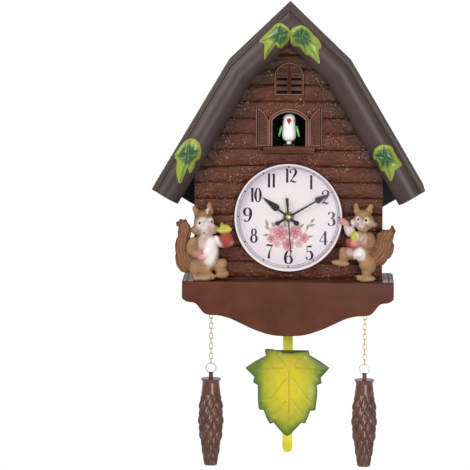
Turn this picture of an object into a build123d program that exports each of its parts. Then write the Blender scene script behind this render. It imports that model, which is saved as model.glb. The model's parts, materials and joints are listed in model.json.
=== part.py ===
"""Pendulum wall clock: a moulded log cabin with a gambrel roof, a round dial, a bird window,
a leaf pendulum and two pine-cone weights on chains. Millimetres, +Z up, the front looks to -Y.
The origin is the centre of the keyhole that hangs it, on the back plane."""
from build123d import *
import math
import os

os.makedirs("parts", exist_ok=True)

# Roof: outline of the outer skin and the moulded barge band along its front edge
ROOF_HALF_WIDTH = 163.8
ROOF_PEAK_Z = 116.3
ROOF_KINK_HALF_WIDTH = 74.4
ROOF_KINK_Z = 45.0
ROOF_EAVE_Z = -106.4
ROOF_DEPTH = 104.0
ROOF_SKIN = 3.0
BARGE_WIDTH = 36.0
BARGE_RIM = 6.0
BARGE_STEP = 2.0
BARGE_ROLL_RISE = 2.0
BARGE_LIP_SETBACK = 16.0

# Cabin: log front, side walls and back board
WALL_HALF_WIDTH = 113.4
WALL_DEPTH = 78.0
WALL_THICKNESS = 4.0
SIDE_THICKNESS = 2.5
LOG_PITCH = 20.0
LOG_GROOVE = 2.2
LOG_END_RADIUS = 8.0
LOG_END_PROUD = 2.5
LOG_END_SPACING = 40.0
LOG_ENDS_PER_SIDE = 3
REAR_THICKNESS = 3.0
KEYHOLE_RADIUS = 5.0
KEYHOLE_SLOT_WIDTH = 4.6
KEYHOLE_SLOT_RISE = 11.0
ACCESS_SIZE = 60.0
ACCESS_CORNER = 6.0
SCREW_RADIUS = 1.5
SCREW_LENGTH = 14.0
SCREW_HEAD_RADIUS = 3.0
SCREW_HEAD_HEIGHT = 1.6
BOSS_RADIUS = 4.2
BOSS_DEPTH = 18.0

# Shelf and apron under the cabin
SHELF_TOP_Z = -217.2
SHELF_HALF_WIDTH = 127.4
SHELF_DEPTH = 98.0
SHELF_THICKNESS = 5.0
SHELF_SKIRT = 16.0
SHELF_WALL = 2.5
PLANK_WIDTH = 14.0
PLANK_GROOVE = 1.0
APRON_THICKNESS = 4.0
APRON_DROP = 66.4
APRON_EDGE = 1.0

# Attic vent, bird window and shutters, all in the log front
VENT_WIDTH = 36.0
VENT_TOP_Z = 45.7
VENT_BOTTOM_Z = 5.9
VENT_PROUD = 2.5
VENT_BORDER = 3.2
VENT_MULLION = 4.0
VENT_SLOT_HEIGHT = 2.6
VENT_SLOT_PITCH = 7.6
VENT_SLOT_ROWS = 3
WINDOW_WIDTH = 39.8
WINDOW_TOP_Z = -14.6
WINDOW_BOTTOM_Z = -55.6
WINDOW_FRAME = 4.6
WINDOW_PROUD = 3.0
SILL_HALF_WIDTH = 31.0
SILL_HEIGHT = 9.0
SHUTTER_WIDTH = 15.6
SHUTTER_TOP_Z = -8.6
SHUTTER_SLOPE = 15.0
SHUTTER_PROUD = 2.5
SHUTTER_BORDER = 2.4
SHUTTER_SLATS = 5
SLAT_GROOVE = 1.2

# Dial, bezel and lens
DIAL_Z = -141.3
DIAL_VIEW_RADIUS = 62.4
DIAL_PLATE = 1.0
BEZEL_RADIUS = 66.0
BEZEL_WALL = 1.8
BEZEL_PROUD = 9.5
BEZEL_SEAT = 1.5
LENS_THICKNESS = 1.2
LENS_RISE = 2.2

# Clock movement, its bush and the hands
MOVEMENT_SIZE = 56.0
MOVEMENT_DEPTH = 16.0
MOVEMENT_CORNER = 4.0
WASHER_RADIUS = 9.0
WASHER_THICKNESS = 1.0
BUSH_RADIUS = 4.0
BUSH_PROUD = 5.0
NUT_FLATS = 12.0
NUT_HEIGHT = 2.5
HOUR_PIPE_RADIUS = 2.5
MINUTE_PIPE_RADIUS = 1.7
SECOND_ARBOR_RADIUS = 0.8
HAND_THICKNESS = 0.8
HAND_SPACING = 1.0
HOUR_LENGTH = 40.8
HOUR_ANGLE = -52.8
MINUTE_LENGTH = 55.7
MINUTE_ANGLE = 59.6
SECOND_LENGTH = 50.0
SECOND_TAIL = 23.0
SECOND_ANGLE = 175.9
SECOND_CAP_RADIUS = 3.4
KNOB_RADIUS = 7.0
KNOB_HEIGHT = 6.0
KNOB_RIBS = 10
AA_RADIUS = 7.25
AA_LENGTH = 50.5

# Pendulum
PIVOT_DROP = 42.0
PIVOT_RADIUS = 1.5
PENDULUM_DEPTH = 44.0
ROD_WIDTH = 12.0
ROD_THICKNESS = 2.0
ROD_END_Z = -433.5
LEAF_TOP_Z = -305.6
LEAF_HEIGHT = 107.8
LEAF_HALF_WIDTH = 51.1
LEAF_THICKNESS = 3.0
PENDULUM_SWING = 7.0
DRIVE_WIDTH = 40.0
DRIVE_HEIGHT = 30.0

# Chains, rings and pine cones
CHAIN_HALF_SPACING = 93.6
CHAIN_DEPTH = 50.0
CHAIN_PITCH = 6.2
CHAIN_LINKS = 11
LINK_WIDTH = 4.9
LINK_WIRE = 1.0
WIRE_FACETS = 6
HOOK_Z = -254.5
HOOK_EYE_RADIUS = 2.2
HOOK_SCREW_LENGTH = 10.0
RING_RADIUS = 6.0
RING_WIRE = 1.2
CONE_LENGTH = 107.0
CONE_RADIUS = 15.0
CONE_FLANGE_RADIUS = 12.0
CONE_EYE_RADIUS = 1.9
CONE_ROWS = 12
CONE_SCALES = 9

# Bird, its box and the solenoid that pushes it out
BIRD_HEIGHT = 36.8
BIRD_RADIUS = 8.4
BIRD_DEPTH = 66.0
BIRD_TRAVEL = 18.0
BOX_MARGIN = 3.0
BOX_WALL = 2.0
BOX_BACK = 30.0
PLUNGER_RADIUS = 2.0

# Roof leaves
LEAF_SEAT = 0.4
ROOF_LEAF_THICKNESS = 5.0
PEAK_LEAF_LEFT = -33.0
PEAK_LEAF_DROP = 23.1
PEAK_LEAF_WIDTH = 32.6
PEAK_LEAF_HEIGHT = 45.8
SLOPE_LEAF_REACH = 53.0
SLOPE_LEAF_WIDTH = 34.8
SLOPE_LEAF_HEIGHT = 51.9

# Squirrel figures on the shelf
LEFT_SQUIRREL_X = -100.8
RIGHT_SQUIRREL_X = 91.2
FIGURE_ROOM = 200.0

# Sound unit and battery bay on the back board
BAY_X = 68.0
BAY_Z = -165.0
BAY_WALL = 3.0
DOOR_LIP = 1.5
CELL_COUNT = 3
CELL_PITCH = 15.6
CONTACT_PLATE = 0.6
CONTACT_RISE = 1.6
SPEAKER_X = -62.0
SPEAKER_Z = -165.0
SPEAKER_RADIUS = 26.0
SPEAKER_DEPTH = 20.0
GRILLE_SLOTS = 5
GRILLE_SLOT_WIDTH = 3.0
GRILLE_PITCH = 8.0
BOARD_X = -62.0
BOARD_Z = -95.0
BOARD_WIDTH = 66.0
BOARD_HEIGHT = 44.0
BOARD_THICKNESS = 1.6
BOARD_STANDOFF = 4.0
SWITCH_X = 62.0
SWITCH_Z = -95.0
SWITCH_TRAVEL = 3.0
SWITCH_KEY = 5.0

# Clearances: between fixed pieces, between moving pieces, and radial running fits
SEAT_GAP = 0.15
MOVE_GAP = 0.4
RUN_GAP = 0.05

# Slot in the shelf and the cabin floor that the swinging rod passes through
PIVOT_Z = DIAL_Z - PIVOT_DROP
SWING_REACH = (PIVOT_Z - SHELF_TOP_Z + SHELF_THICKNESS) * math.tan(math.radians(PENDULUM_SWING))
SWING_SLOT_LENGTH = ROD_WIDTH / math.cos(math.radians(PENDULUM_SWING)) + 2 * (SWING_REACH + 2 * MOVE_GAP)
SWING_SLOT_CENTRE = PENDULUM_DEPTH + ROD_THICKNESS / 2
SWING_SLOT_DEPTH = ROD_THICKNESS + 10.0


def front(depth, x=0.0, z=0.0, turn=0.0):
    """Plane facing the viewer at a depth in front of the back plane; turn is clockwise from upright."""
    angle = math.radians(turn)
    across = (math.cos(angle), 0, -math.sin(angle))
    return Plane(origin=(x, -depth, z), x_dir=across, z_dir=(0, -1, 0))


def crossing(point_a, way_a, point_b, way_b):
    """Meeting point of two lines, each given by a point and a direction."""
    gap = point_b - point_a
    reach = (gap.X * way_b.Y - gap.Y * way_b.X) / (way_a.X * way_b.Y - way_a.Y * way_b.X)
    return point_a + way_a * reach


PEAK = Vector(0, ROOF_PEAK_Z)
KINK = Vector(ROOF_KINK_HALF_WIDTH, ROOF_KINK_Z)
EAVE = Vector(ROOF_HALF_WIDTH, ROOF_EAVE_Z)
UPPER_WAY = (PEAK - KINK).normalized()
LOWER_WAY = (KINK - EAVE).normalized()
UPPER_IN = Vector(-UPPER_WAY.Y, UPPER_WAY.X)
LOWER_IN = Vector(-LOWER_WAY.Y, LOWER_WAY.X)


def roof_line(inset):
    """Eave, kink and peak of the right roof half, moved inward from the outer skin."""
    eave = EAVE + LOWER_IN * inset
    kink = crossing(eave, LOWER_WAY, KINK + UPPER_IN * inset, UPPER_WAY)
    peak = crossing(kink, UPPER_WAY, Vector(0, 0), Vector(0, 1))
    return eave, kink, peak


def both_sides(right_half):
    """Closed outline from the points of its right half, listed from the bottom up."""
    left_half = [(-point.X, point.Y) for point in reversed(right_half) if abs(point.X) > 1e-6]
    return [(point.X, point.Y) for point in right_half] + left_half


def wall_outline(inset):
    """Cabin gable under the roof skin, moved inward from its outer faces."""
    eave, kink, peak = roof_line(ROOF_SKIN + SEAT_GAP + inset)
    side = WALL_HALF_WIDTH - inset
    shoulder = crossing(eave, LOWER_WAY, Vector(side, 0), Vector(0, 1))
    foot = Vector(side, SHELF_TOP_Z + SEAT_GAP + inset)
    return both_sides([foot, shoulder, kink, peak])


def export(builder, name):
    """Label a finished piece and write it."""
    builder.part.label = name
    export_step(builder.part, f"parts/{name}.step")


# Roof shell: one moulded skin swept along the gambrel, with rim, step and rolled barge band in front
ROLL_FRONT = ROOF_DEPTH + BARGE_ROLL_RISE
STEP_FRONT = ROOF_DEPTH - BARGE_STEP
LIP_FRONT = ROLL_FRONT - BARGE_LIP_SETBACK
with BuildPart() as roof_shell:
    with BuildLine(Plane.XZ):
        Polyline(
            (-EAVE.X, EAVE.Y), (-KINK.X, KINK.Y), (PEAK.X, PEAK.Y), (KINK.X, KINK.Y), (EAVE.X, EAVE.Y)
        )
    section_plane = Plane(
        origin=(-EAVE.X, 0, EAVE.Y),
        x_dir=(LOWER_IN.X, 0, -LOWER_IN.Y),
        z_dir=(-LOWER_WAY.X, 0, LOWER_WAY.Y),
    )
    with BuildSketch(section_plane):
        with BuildLine():
            Polyline(
                (0, 0),
                (0, ROOF_DEPTH),
                (-BARGE_RIM, ROOF_DEPTH),
                (-BARGE_RIM, STEP_FRONT),
            )
            ThreePointArc(
                (-BARGE_RIM, STEP_FRONT),
                (-0.58 * BARGE_WIDTH, ROLL_FRONT),
                (-BARGE_WIDTH, LIP_FRONT),
            )
            Line((-BARGE_WIDTH, LIP_FRONT), (ROOF_SKIN - BARGE_WIDTH, LIP_FRONT - ROOF_SKIN))
            ThreePointArc(
                (ROOF_SKIN - BARGE_WIDTH, LIP_FRONT - ROOF_SKIN),
                (-0.56 * BARGE_WIDTH, ROLL_FRONT - ROOF_SKIN),
                (-BARGE_RIM - ROOF_SKIN / 2, STEP_FRONT - ROOF_SKIN),
            )
            Polyline(
                (-BARGE_RIM - ROOF_SKIN / 2, STEP_FRONT - ROOF_SKIN),
                (-ROOF_SKIN, STEP_FRONT - ROOF_SKIN),
                (-ROOF_SKIN, 0),
                (0, 0),
            )
        make_face()
    sweep(transition=Transition.RIGHT)
export(roof_shell, "roof_shell")


def arch(width, top, bottom, rise):
    """Face with a straight foot and a round head; rise is the height of the head's arc."""
    half = width / 2
    with BuildSketch() as face:
        with BuildLine():
            Polyline((-half, top - rise), (-half, bottom), (half, bottom), (half, top - rise))
            ThreePointArc((half, top - rise), (0, top), (-half, top - rise))
        make_face()
    return face.sketch


def shutter_face(side, margin):
    """Open shutter beside the window: upright leaf whose top edge drops towards the window."""
    inner = WINDOW_WIDTH / 2 + WINDOW_FRAME + SEAT_GAP - margin
    outer = inner + SHUTTER_WIDTH + 2 * margin
    top = SHUTTER_TOP_Z + margin
    bottom = WINDOW_BOTTOM_Z - margin
    with BuildSketch() as face:
        with BuildLine():
            Polyline(
                (side * inner, top - SHUTTER_SLOPE),
                (side * inner, bottom),
                (side * outer, bottom),
                (side * outer, top),
            )
            ThreePointArc(
                (side * outer, top),
                (side * (0.62 * inner + 0.38 * outer), top - 0.36 * SHUTTER_SLOPE),
                (side * inner, top - SHUTTER_SLOPE),
            )
        make_face()
    return face.sketch


# Openings and seats that the trims of the log front share with it
WALL_BACK = WALL_DEPTH - WALL_THICKNESS
WINDOW_HEAD = 0.24 * WINDOW_WIDTH
VENT_HEAD = VENT_WIDTH / 2
SHUTTER_SEAT = WALL_BACK + 1.6
BEZEL_SEAT_DEPTH = WALL_BACK + BEZEL_SEAT
WINDOW_OUTER_WIDTH = WINDOW_WIDTH + 2 * WINDOW_FRAME
WINDOW_OUTER_HEAD = WINDOW_HEAD + WINDOW_FRAME
SILL_TOP_Z = WINDOW_BOTTOM_Z
SILL_BOTTOM_Z = SILL_TOP_Z - SILL_HEIGHT


def window_face(margin):
    """Outline of the window frame with its sill, grown by a margin."""
    head = arch(
        WINDOW_OUTER_WIDTH + 2 * margin, WINDOW_TOP_Z + WINDOW_FRAME + margin, SILL_BOTTOM_Z - margin,
        WINDOW_OUTER_HEAD,
    )
    with BuildSketch() as face:
        add(head)
        with Locations((0, (SILL_TOP_Z + SILL_BOTTOM_Z) / 2)):
            Rectangle(2 * (SILL_HALF_WIDTH + margin), SILL_HEIGHT + 2 * margin)
    return face.sketch


# Log front: a panel of half-round logs in the gable outline, with log ends stepping up the slopes
log_count = math.ceil((ROOF_PEAK_Z - SHELF_TOP_Z) / LOG_PITCH)
log_end_line = BARGE_WIDTH + LOG_END_RADIUS / 2
log_end_stop = roof_line(log_end_line)[1]
with BuildPart() as log_front:
    with BuildSketch(Plane.YZ.offset(-WALL_HALF_WIDTH)):
        with BuildLine():
            for row in range(log_count):
                foot = SHELF_TOP_Z + row * LOG_PITCH
                ThreePointArc(
                    (LOG_GROOVE - WALL_DEPTH, foot),
                    (-WALL_DEPTH, foot + LOG_PITCH / 2),
                    (LOG_GROOVE - WALL_DEPTH, foot + LOG_PITCH),
                )
            Polyline(
                (LOG_GROOVE - WALL_DEPTH, SHELF_TOP_Z + log_count * LOG_PITCH),
                (-WALL_BACK, SHELF_TOP_Z + log_count * LOG_PITCH),
                (-WALL_BACK, SHELF_TOP_Z),
                (LOG_GROOVE - WALL_DEPTH, SHELF_TOP_Z),
            )
        make_face()
    extrude(amount=2 * WALL_HALF_WIDTH)
    with BuildSketch(front(WALL_BACK + LOG_GROOVE / 2)):
        for side in (-1, 1):
            for step in range(LOG_ENDS_PER_SIDE):
                spot = log_end_stop - LOWER_WAY * (step + 0.5) * LOG_END_SPACING
                with Locations((side * spot.X, spot.Y)):
                    Circle(LOG_END_RADIUS)
    extrude(amount=WALL_THICKNESS - LOG_GROOVE / 2 + LOG_END_PROUD)
    with BuildSketch(front(WALL_BACK)):
        Polygon(*wall_outline(0), align=None)
    extrude(amount=WALL_THICKNESS + LOG_END_PROUD, mode=Mode.INTERSECT)
    with BuildSketch(front(WALL_BACK)):
        with Locations((0, DIAL_Z)):
            Circle(DIAL_VIEW_RADIUS)
        add(window_face(SEAT_GAP))
        add(arch(VENT_WIDTH + 2 * SEAT_GAP, VENT_TOP_Z + SEAT_GAP, VENT_BOTTOM_Z - SEAT_GAP, VENT_HEAD))
    extrude(amount=WALL_THICKNESS + LOG_END_PROUD, mode=Mode.SUBTRACT)
    with BuildSketch(front(BEZEL_SEAT_DEPTH, z=DIAL_Z)):
        Circle(BEZEL_RADIUS + SEAT_GAP)
    extrude(amount=WALL_THICKNESS, mode=Mode.SUBTRACT)
    with BuildSketch(front(SHUTTER_SEAT)):
        for side in (-1, 1):
            add(shutter_face(side, SEAT_GAP))
    extrude(amount=WALL_THICKNESS, mode=Mode.SUBTRACT)
export(log_front, "log_front")

# Case frame: side and gable walls behind the log front, with screw bosses in the corners
CASE_INSIDE = WALL_HALF_WIDTH - SIDE_THICKNESS
boss_x = CASE_INSIDE - BOSS_RADIUS / 2
eave_in, kink_in, peak_in = roof_line(ROOF_SKIN + SEAT_GAP + SIDE_THICKNESS + BOSS_RADIUS / 2)
SCREW_SPOTS = [
    (side * spot.X, spot.Y)
    for side in (-1, 1)
    for spot in (
        Vector(boss_x, SHELF_TOP_Z + SIDE_THICKNESS + 2 * BOSS_RADIUS),
        Vector(boss_x, ROOF_EAVE_Z + 2 * BOSS_RADIUS),
        (kink_in + peak_in) / 2,
    )
]
with BuildPart() as case_frame:
    with BuildSketch(front(REAR_THICKNESS)):
        Polygon(*wall_outline(0), align=None)
        Polygon(*wall_outline(SIDE_THICKNESS), align=None, mode=Mode.SUBTRACT)
    extrude(amount=WALL_BACK - REAR_THICKNESS)
    with BuildSketch(front(REAR_THICKNESS)):
        with Locations(*SCREW_SPOTS):
            Circle(BOSS_RADIUS)
        Polygon(*wall_outline(0), align=None, mode=Mode.INTERSECT)
    extrude(amount=BOSS_DEPTH)
    with BuildSketch(front(REAR_THICKNESS)):
        with Locations(*SCREW_SPOTS):
            Circle(SCREW_RADIUS + RUN_GAP)
    extrude(amount=BOSS_DEPTH, mode=Mode.SUBTRACT)
    with BuildSketch(Plane.XY.offset(SHELF_TOP_Z)):
        with Locations((0, -SWING_SLOT_CENTRE)):
            Rectangle(SWING_SLOT_LENGTH, SWING_SLOT_DEPTH)
    extrude(amount=2 * (SIDE_THICKNESS + SEAT_GAP), mode=Mode.SUBTRACT)
export(case_frame, "case_frame")

# Back board: closes the cabin and the eaves; keyhole, access to the movement, grille and battery door
BAY_INNER_WIDTH = AA_LENGTH + 2 * (SEAT_GAP + CONTACT_PLATE + CONTACT_RISE + MOVE_GAP)
BAY_INNER_HEIGHT = CELL_COUNT * CELL_PITCH + 2 * MOVE_GAP
DOOR_WIDTH = BAY_INNER_WIDTH + 2 * DOOR_LIP
DOOR_HEIGHT = BAY_INNER_HEIGHT + 2 * DOOR_LIP
eave_in, kink_in, peak_in = roof_line(ROOF_SKIN + SEAT_GAP)
eave_foot = crossing(eave_in, LOWER_IN, Vector(WALL_HALF_WIDTH, 0), Vector(0, 1))
board_foot = Vector(WALL_HALF_WIDTH, SHELF_TOP_Z + SEAT_GAP)
STANDOFF_SPOTS = [
    (BOARD_X + across * (BOARD_WIDTH / 2 - 2 * SCREW_HEAD_RADIUS),
     BOARD_Z + up * (BOARD_HEIGHT / 2 - 2 * SCREW_HEAD_RADIUS))
    for across in (-1, 1)
    for up in (-1, 1)
]
with BuildPart() as rear_cover:
    with BuildSketch(front(0)):
        Polygon(*both_sides([board_foot, eave_foot, eave_in, kink_in, peak_in]), align=None)
        with Locations((0, DIAL_Z)):
            RectangleRounded(ACCESS_SIZE, ACCESS_SIZE, ACCESS_CORNER, mode=Mode.SUBTRACT)
        with Locations((BAY_X, BAY_Z)):
            Rectangle(DOOR_WIDTH + 2 * MOVE_GAP, DOOR_HEIGHT + 2 * MOVE_GAP, mode=Mode.SUBTRACT)
        with Locations((SPEAKER_X, SPEAKER_Z)):
            with GridLocations(0, GRILLE_PITCH, 1, GRILLE_SLOTS):
                SlotOverall(1.2 * SPEAKER_RADIUS, GRILLE_SLOT_WIDTH, mode=Mode.SUBTRACT)
        with Locations((SWITCH_X, SWITCH_Z)):
            Rectangle(
                SWITCH_KEY + 2 * (SWITCH_TRAVEL + MOVE_GAP), SWITCH_KEY + 2 * MOVE_GAP, mode=Mode.SUBTRACT
            )
        Circle(KEYHOLE_RADIUS, mode=Mode.SUBTRACT)
        with Locations((0, KEYHOLE_SLOT_RISE / 2)):
            Rectangle(KEYHOLE_SLOT_WIDTH, KEYHOLE_SLOT_RISE, mode=Mode.SUBTRACT)
        with Locations((0, KEYHOLE_SLOT_RISE)):
            Circle(KEYHOLE_SLOT_WIDTH / 2, mode=Mode.SUBTRACT)
        with Locations(*SCREW_SPOTS):
            Circle(SCREW_RADIUS + RUN_GAP, mode=Mode.SUBTRACT)
    extrude(amount=REAR_THICKNESS)
    with BuildSketch(front(0)):
        with Locations(*SCREW_SPOTS):
            Circle(SCREW_HEAD_RADIUS + SEAT_GAP)
    extrude(amount=SCREW_HEAD_HEIGHT + SEAT_GAP, mode=Mode.SUBTRACT)
    with BuildSketch(front(REAR_THICKNESS)):
        with Locations(*STANDOFF_SPOTS):
            Circle(SCREW_HEAD_RADIUS)
    extrude(amount=BOARD_STANDOFF)
export(rear_cover, "rear_cover")

# Case screws: six pan-head screws from the back into the bosses
with BuildPart() as case_screws:
    with BuildSketch(front(SEAT_GAP)):
        with Locations(*SCREW_SPOTS):
            Circle(SCREW_HEAD_RADIUS)
    extrude(amount=SCREW_HEAD_HEIGHT)
    with BuildSketch(front(SEAT_GAP + SCREW_HEAD_HEIGHT)):
        with Locations(*SCREW_SPOTS):
            Circle(SCREW_RADIUS)
    extrude(amount=SCREW_LENGTH)
export(case_screws, "case_screws")

# Shelf base: planked top with a skirt round three sides, a swing slot and two bosses for the chain hooks
SHELF_BOTTOM_Z = SHELF_TOP_Z - SHELF_THICKNESS
HOOK_BOSS_RADIUS = 5.0
HOOK_BOSS_END_Z = HOOK_Z + HOOK_EYE_RADIUS + 2 * LINK_WIRE
plank_count = math.floor(SHELF_HALF_WIDTH / PLANK_WIDTH)
with BuildPart() as shelf_base:
    with BuildSketch(Plane.XY.offset(SHELF_BOTTOM_Z)):
        with Locations((0, -SHELF_DEPTH / 2)):
            Rectangle(2 * SHELF_HALF_WIDTH, SHELF_DEPTH)
    extrude(amount=SHELF_THICKNESS)
    with BuildSketch(Plane.XY.offset(SHELF_BOTTOM_Z)):
        with Locations((0, -SHELF_DEPTH / 2)):
            Rectangle(2 * SHELF_HALF_WIDTH, SHELF_DEPTH)
        with Locations((0, -SHELF_DEPTH / 2 - SHELF_WALL)):
            Rectangle(2 * (SHELF_HALF_WIDTH - SHELF_WALL), SHELF_DEPTH, mode=Mode.SUBTRACT)
        with Locations((-CHAIN_HALF_SPACING, -CHAIN_DEPTH), (CHAIN_HALF_SPACING, -CHAIN_DEPTH)):
            Circle(HOOK_BOSS_RADIUS)
    extrude(amount=-SHELF_SKIRT)
    with BuildSketch(Plane.XY.offset(SHELF_BOTTOM_Z - SHELF_SKIRT)):
        with Locations((-CHAIN_HALF_SPACING, -CHAIN_DEPTH), (CHAIN_HALF_SPACING, -CHAIN_DEPTH)):
            Circle(HOOK_BOSS_RADIUS)
    extrude(amount=HOOK_BOSS_END_Z - SHELF_BOTTOM_Z + SHELF_SKIRT)
    with BuildSketch(Plane.XY.offset(SHELF_BOTTOM_Z)):
        with Locations((0, -SWING_SLOT_CENTRE)):
            Rectangle(SWING_SLOT_LENGTH, SWING_SLOT_DEPTH)
    extrude(amount=SHELF_THICKNESS, mode=Mode.SUBTRACT)
    with BuildSketch(Plane.XY.offset(SHELF_TOP_Z - PLANK_GROOVE)):
        for side in (-1, 1):
            for plank in range(plank_count - 1, plank_count + 1):
                with Locations((side * plank * PLANK_WIDTH, -SHELF_DEPTH / 2)):
                    Rectangle(PLANK_GROOVE, SHELF_DEPTH)
    extrude(amount=PLANK_GROOVE, mode=Mode.SUBTRACT)
    with BuildSketch(Plane.XY.offset(HOOK_BOSS_END_Z)):
        with Locations((-CHAIN_HALF_SPACING, -CHAIN_DEPTH), (CHAIN_HALF_SPACING, -CHAIN_DEPTH)):
            Circle(LINK_WIRE / 2 + RUN_GAP)
    extrude(amount=HOOK_SCREW_LENGTH + SEAT_GAP, mode=Mode.SUBTRACT)
export(shelf_base, "shelf_base")

# Apron board: the wavy front of the shelf, thickest in the middle, with a broken front edge
shoulder_drop = 0.28 * APRON_DROP
wave_drop = 0.51 * APRON_DROP
with BuildPart() as apron_board:
    with BuildSketch(front(SHELF_DEPTH, z=SHELF_TOP_Z)):
        with BuildLine():
            Polyline(
                (0, 0),
                (SHELF_HALF_WIDTH, 0),
                (SHELF_HALF_WIDTH, -shoulder_drop),
            )
            Spline(
                (SHELF_HALF_WIDTH, -shoulder_drop),
                (0.89 * SHELF_HALF_WIDTH, -0.39 * APRON_DROP),
                (0.75 * SHELF_HALF_WIDTH, -wave_drop - 0.1 * APRON_DROP),
                (0.54 * SHELF_HALF_WIDTH, -wave_drop - 0.2 * APRON_DROP),
                (0.27 * SHELF_HALF_WIDTH, -0.94 * APRON_DROP),
                (0, -APRON_DROP),
                tangents=[(-0.2, -1), (-1, 0)],
            )
            Line((0, -APRON_DROP), (0, 0))
        make_face()
        mirror(about=Plane.YZ)
    extrude(amount=APRON_THICKNESS)
    chamfer(apron_board.faces().sort_by(Axis.Y)[0].edges(), APRON_EDGE)
export(apron_board, "apron_board")

# Attic vent: arched plug with two sunk panes, a mullion and open louvre slots
vent_front = WALL_DEPTH + VENT_PROUD
pane_width = (VENT_WIDTH - 2 * VENT_BORDER - VENT_MULLION) / 2
pane_x = (VENT_MULLION + pane_width) / 2
slot_z = VENT_BOTTOM_Z + VENT_BORDER + VENT_SLOT_HEIGHT
vent_pane = arch(
    VENT_WIDTH - 2 * VENT_BORDER, VENT_TOP_Z - VENT_BORDER, VENT_BOTTOM_Z + VENT_BORDER, VENT_HEAD - VENT_BORDER
)
with BuildPart() as attic_vent:
    with BuildSketch(front(WALL_BACK)):
        add(arch(VENT_WIDTH, VENT_TOP_Z, VENT_BOTTOM_Z, VENT_HEAD))
    extrude(amount=vent_front - WALL_BACK)
    with BuildSketch(front(vent_front - SLAT_GROOVE)):
        add(vent_pane)
        with Locations((0, (VENT_TOP_Z + VENT_BOTTOM_Z) / 2)):
            Rectangle(VENT_MULLION, VENT_TOP_Z - VENT_BOTTOM_Z, mode=Mode.SUBTRACT)
        with Locations((0, slot_z + (VENT_SLOT_ROWS - 0.5) * VENT_SLOT_PITCH)):
            Rectangle(VENT_WIDTH, VENT_MULLION / 2, mode=Mode.SUBTRACT)
    extrude(amount=SLAT_GROOVE, mode=Mode.SUBTRACT)
    with BuildSketch(front(WALL_BACK)):
        for row in range(VENT_SLOT_ROWS):
            with Locations((-pane_x, slot_z + row * VENT_SLOT_PITCH), (pane_x, slot_z + row * VENT_SLOT_PITCH)):
                Rectangle(pane_width - VENT_BORDER / 2, VENT_SLOT_HEIGHT)
    extrude(amount=vent_front - WALL_BACK, mode=Mode.SUBTRACT)
export(attic_vent, "attic_vent")

# Window frame: arched frame and smooth sill, plugged into the log front
with BuildPart() as window_frame:
    with BuildSketch(front(WALL_BACK)):
        add(window_face(0))
        add(arch(WINDOW_WIDTH, WINDOW_TOP_Z, WINDOW_BOTTOM_Z, WINDOW_HEAD), mode=Mode.SUBTRACT)
    extrude(amount=WALL_THICKNESS + WINDOW_PROUD)
    with BuildSketch(front(WALL_DEPTH + WINDOW_PROUD)):
        with Locations((0, SILL_TOP_Z - SILL_HEIGHT / 4)):
            Rectangle(2 * SILL_HALF_WIDTH, SILL_HEIGHT / 2)
    extrude(amount=WINDOW_PROUD / 2)
export(window_frame, "window_frame")

# Shutters: two fixed open leaves with louvre slats, glued into shallow seats beside the window
slat_pitch = (SHUTTER_TOP_Z - SHUTTER_SLOPE - WINDOW_BOTTOM_Z) / SHUTTER_SLATS
shutter_front = WALL_DEPTH + SHUTTER_PROUD
for side, name in ((-1, "left_shutter"), (1, "right_shutter")):
    with BuildPart() as shutter:
        with BuildSketch(front(SHUTTER_SEAT)):
            add(shutter_face(side, 0))
        extrude(amount=shutter_front - SHUTTER_SEAT)
        with BuildSketch(front(shutter_front - SLAT_GROOVE)):
            add(shutter_face(side, -SHUTTER_BORDER))
            for slat in range(1, SHUTTER_SLATS + 1):
                with Locations((0, WINDOW_BOTTOM_Z + slat * slat_pitch)):
                    Rectangle(4 * WINDOW_WIDTH, slat_pitch / 3, mode=Mode.SUBTRACT)
        extrude(amount=SLAT_GROOVE, mode=Mode.SUBTRACT)
    export(shutter, name)

# Bird box: black box behind the window, open in front, with a hole for the plunger
BOX_FLOOR_Z = WINDOW_BOTTOM_Z
BOX_TOP_Z = WINDOW_TOP_Z + BOX_MARGIN
BOX_INNER_WIDTH = WINDOW_WIDTH + 2 * BOX_MARGIN
BOX_FRONT = WALL_BACK - SEAT_GAP
PLUNGER_Z = BOX_FLOOR_Z + 3 * PLUNGER_RADIUS
with BuildPart() as bird_box:
    with BuildSketch(front(BOX_BACK)):
        with Locations((0, (BOX_FLOOR_Z + BOX_TOP_Z) / 2)):
            Rectangle(BOX_INNER_WIDTH + 2 * BOX_WALL, BOX_TOP_Z - BOX_FLOOR_Z + 2 * BOX_WALL)
    extrude(amount=BOX_FRONT - BOX_BACK)
    with BuildSketch(front(BOX_BACK + BOX_WALL)):
        with Locations((0, (BOX_FLOOR_Z + BOX_TOP_Z) / 2)):
            Rectangle(BOX_INNER_WIDTH, BOX_TOP_Z - BOX_FLOOR_Z)
    extrude(amount=BOX_FRONT - BOX_BACK, mode=Mode.SUBTRACT)
    with BuildSketch(front(BOX_BACK, z=PLUNGER_Z)):
        Circle(PLUNGER_RADIUS + MOVE_GAP)
    extrude(amount=BOX_WALL, mode=Mode.SUBTRACT)
export(bird_box, "bird_box")

# Solenoid on the back of the bird box; its bore guides the plunger
SOLENOID_SIZE = 8 * PLUNGER_RADIUS
SOLENOID_BACK = REAR_THICKNESS + 2.0
SOLENOID_CAP = 2.0
with BuildPart() as bird_solenoid:
    with BuildSketch(front(SOLENOID_BACK, z=PLUNGER_Z)):
        RectangleRounded(SOLENOID_SIZE, SOLENOID_SIZE, PLUNGER_RADIUS)
    extrude(amount=BOX_BACK - SEAT_GAP - SOLENOID_BACK)
    with BuildSketch(front(SOLENOID_BACK + SOLENOID_CAP, z=PLUNGER_Z)):
        Circle(PLUNGER_RADIUS + RUN_GAP)
    extrude(amount=BOX_BACK, mode=Mode.SUBTRACT)
export(bird_solenoid, "bird_solenoid")

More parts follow.
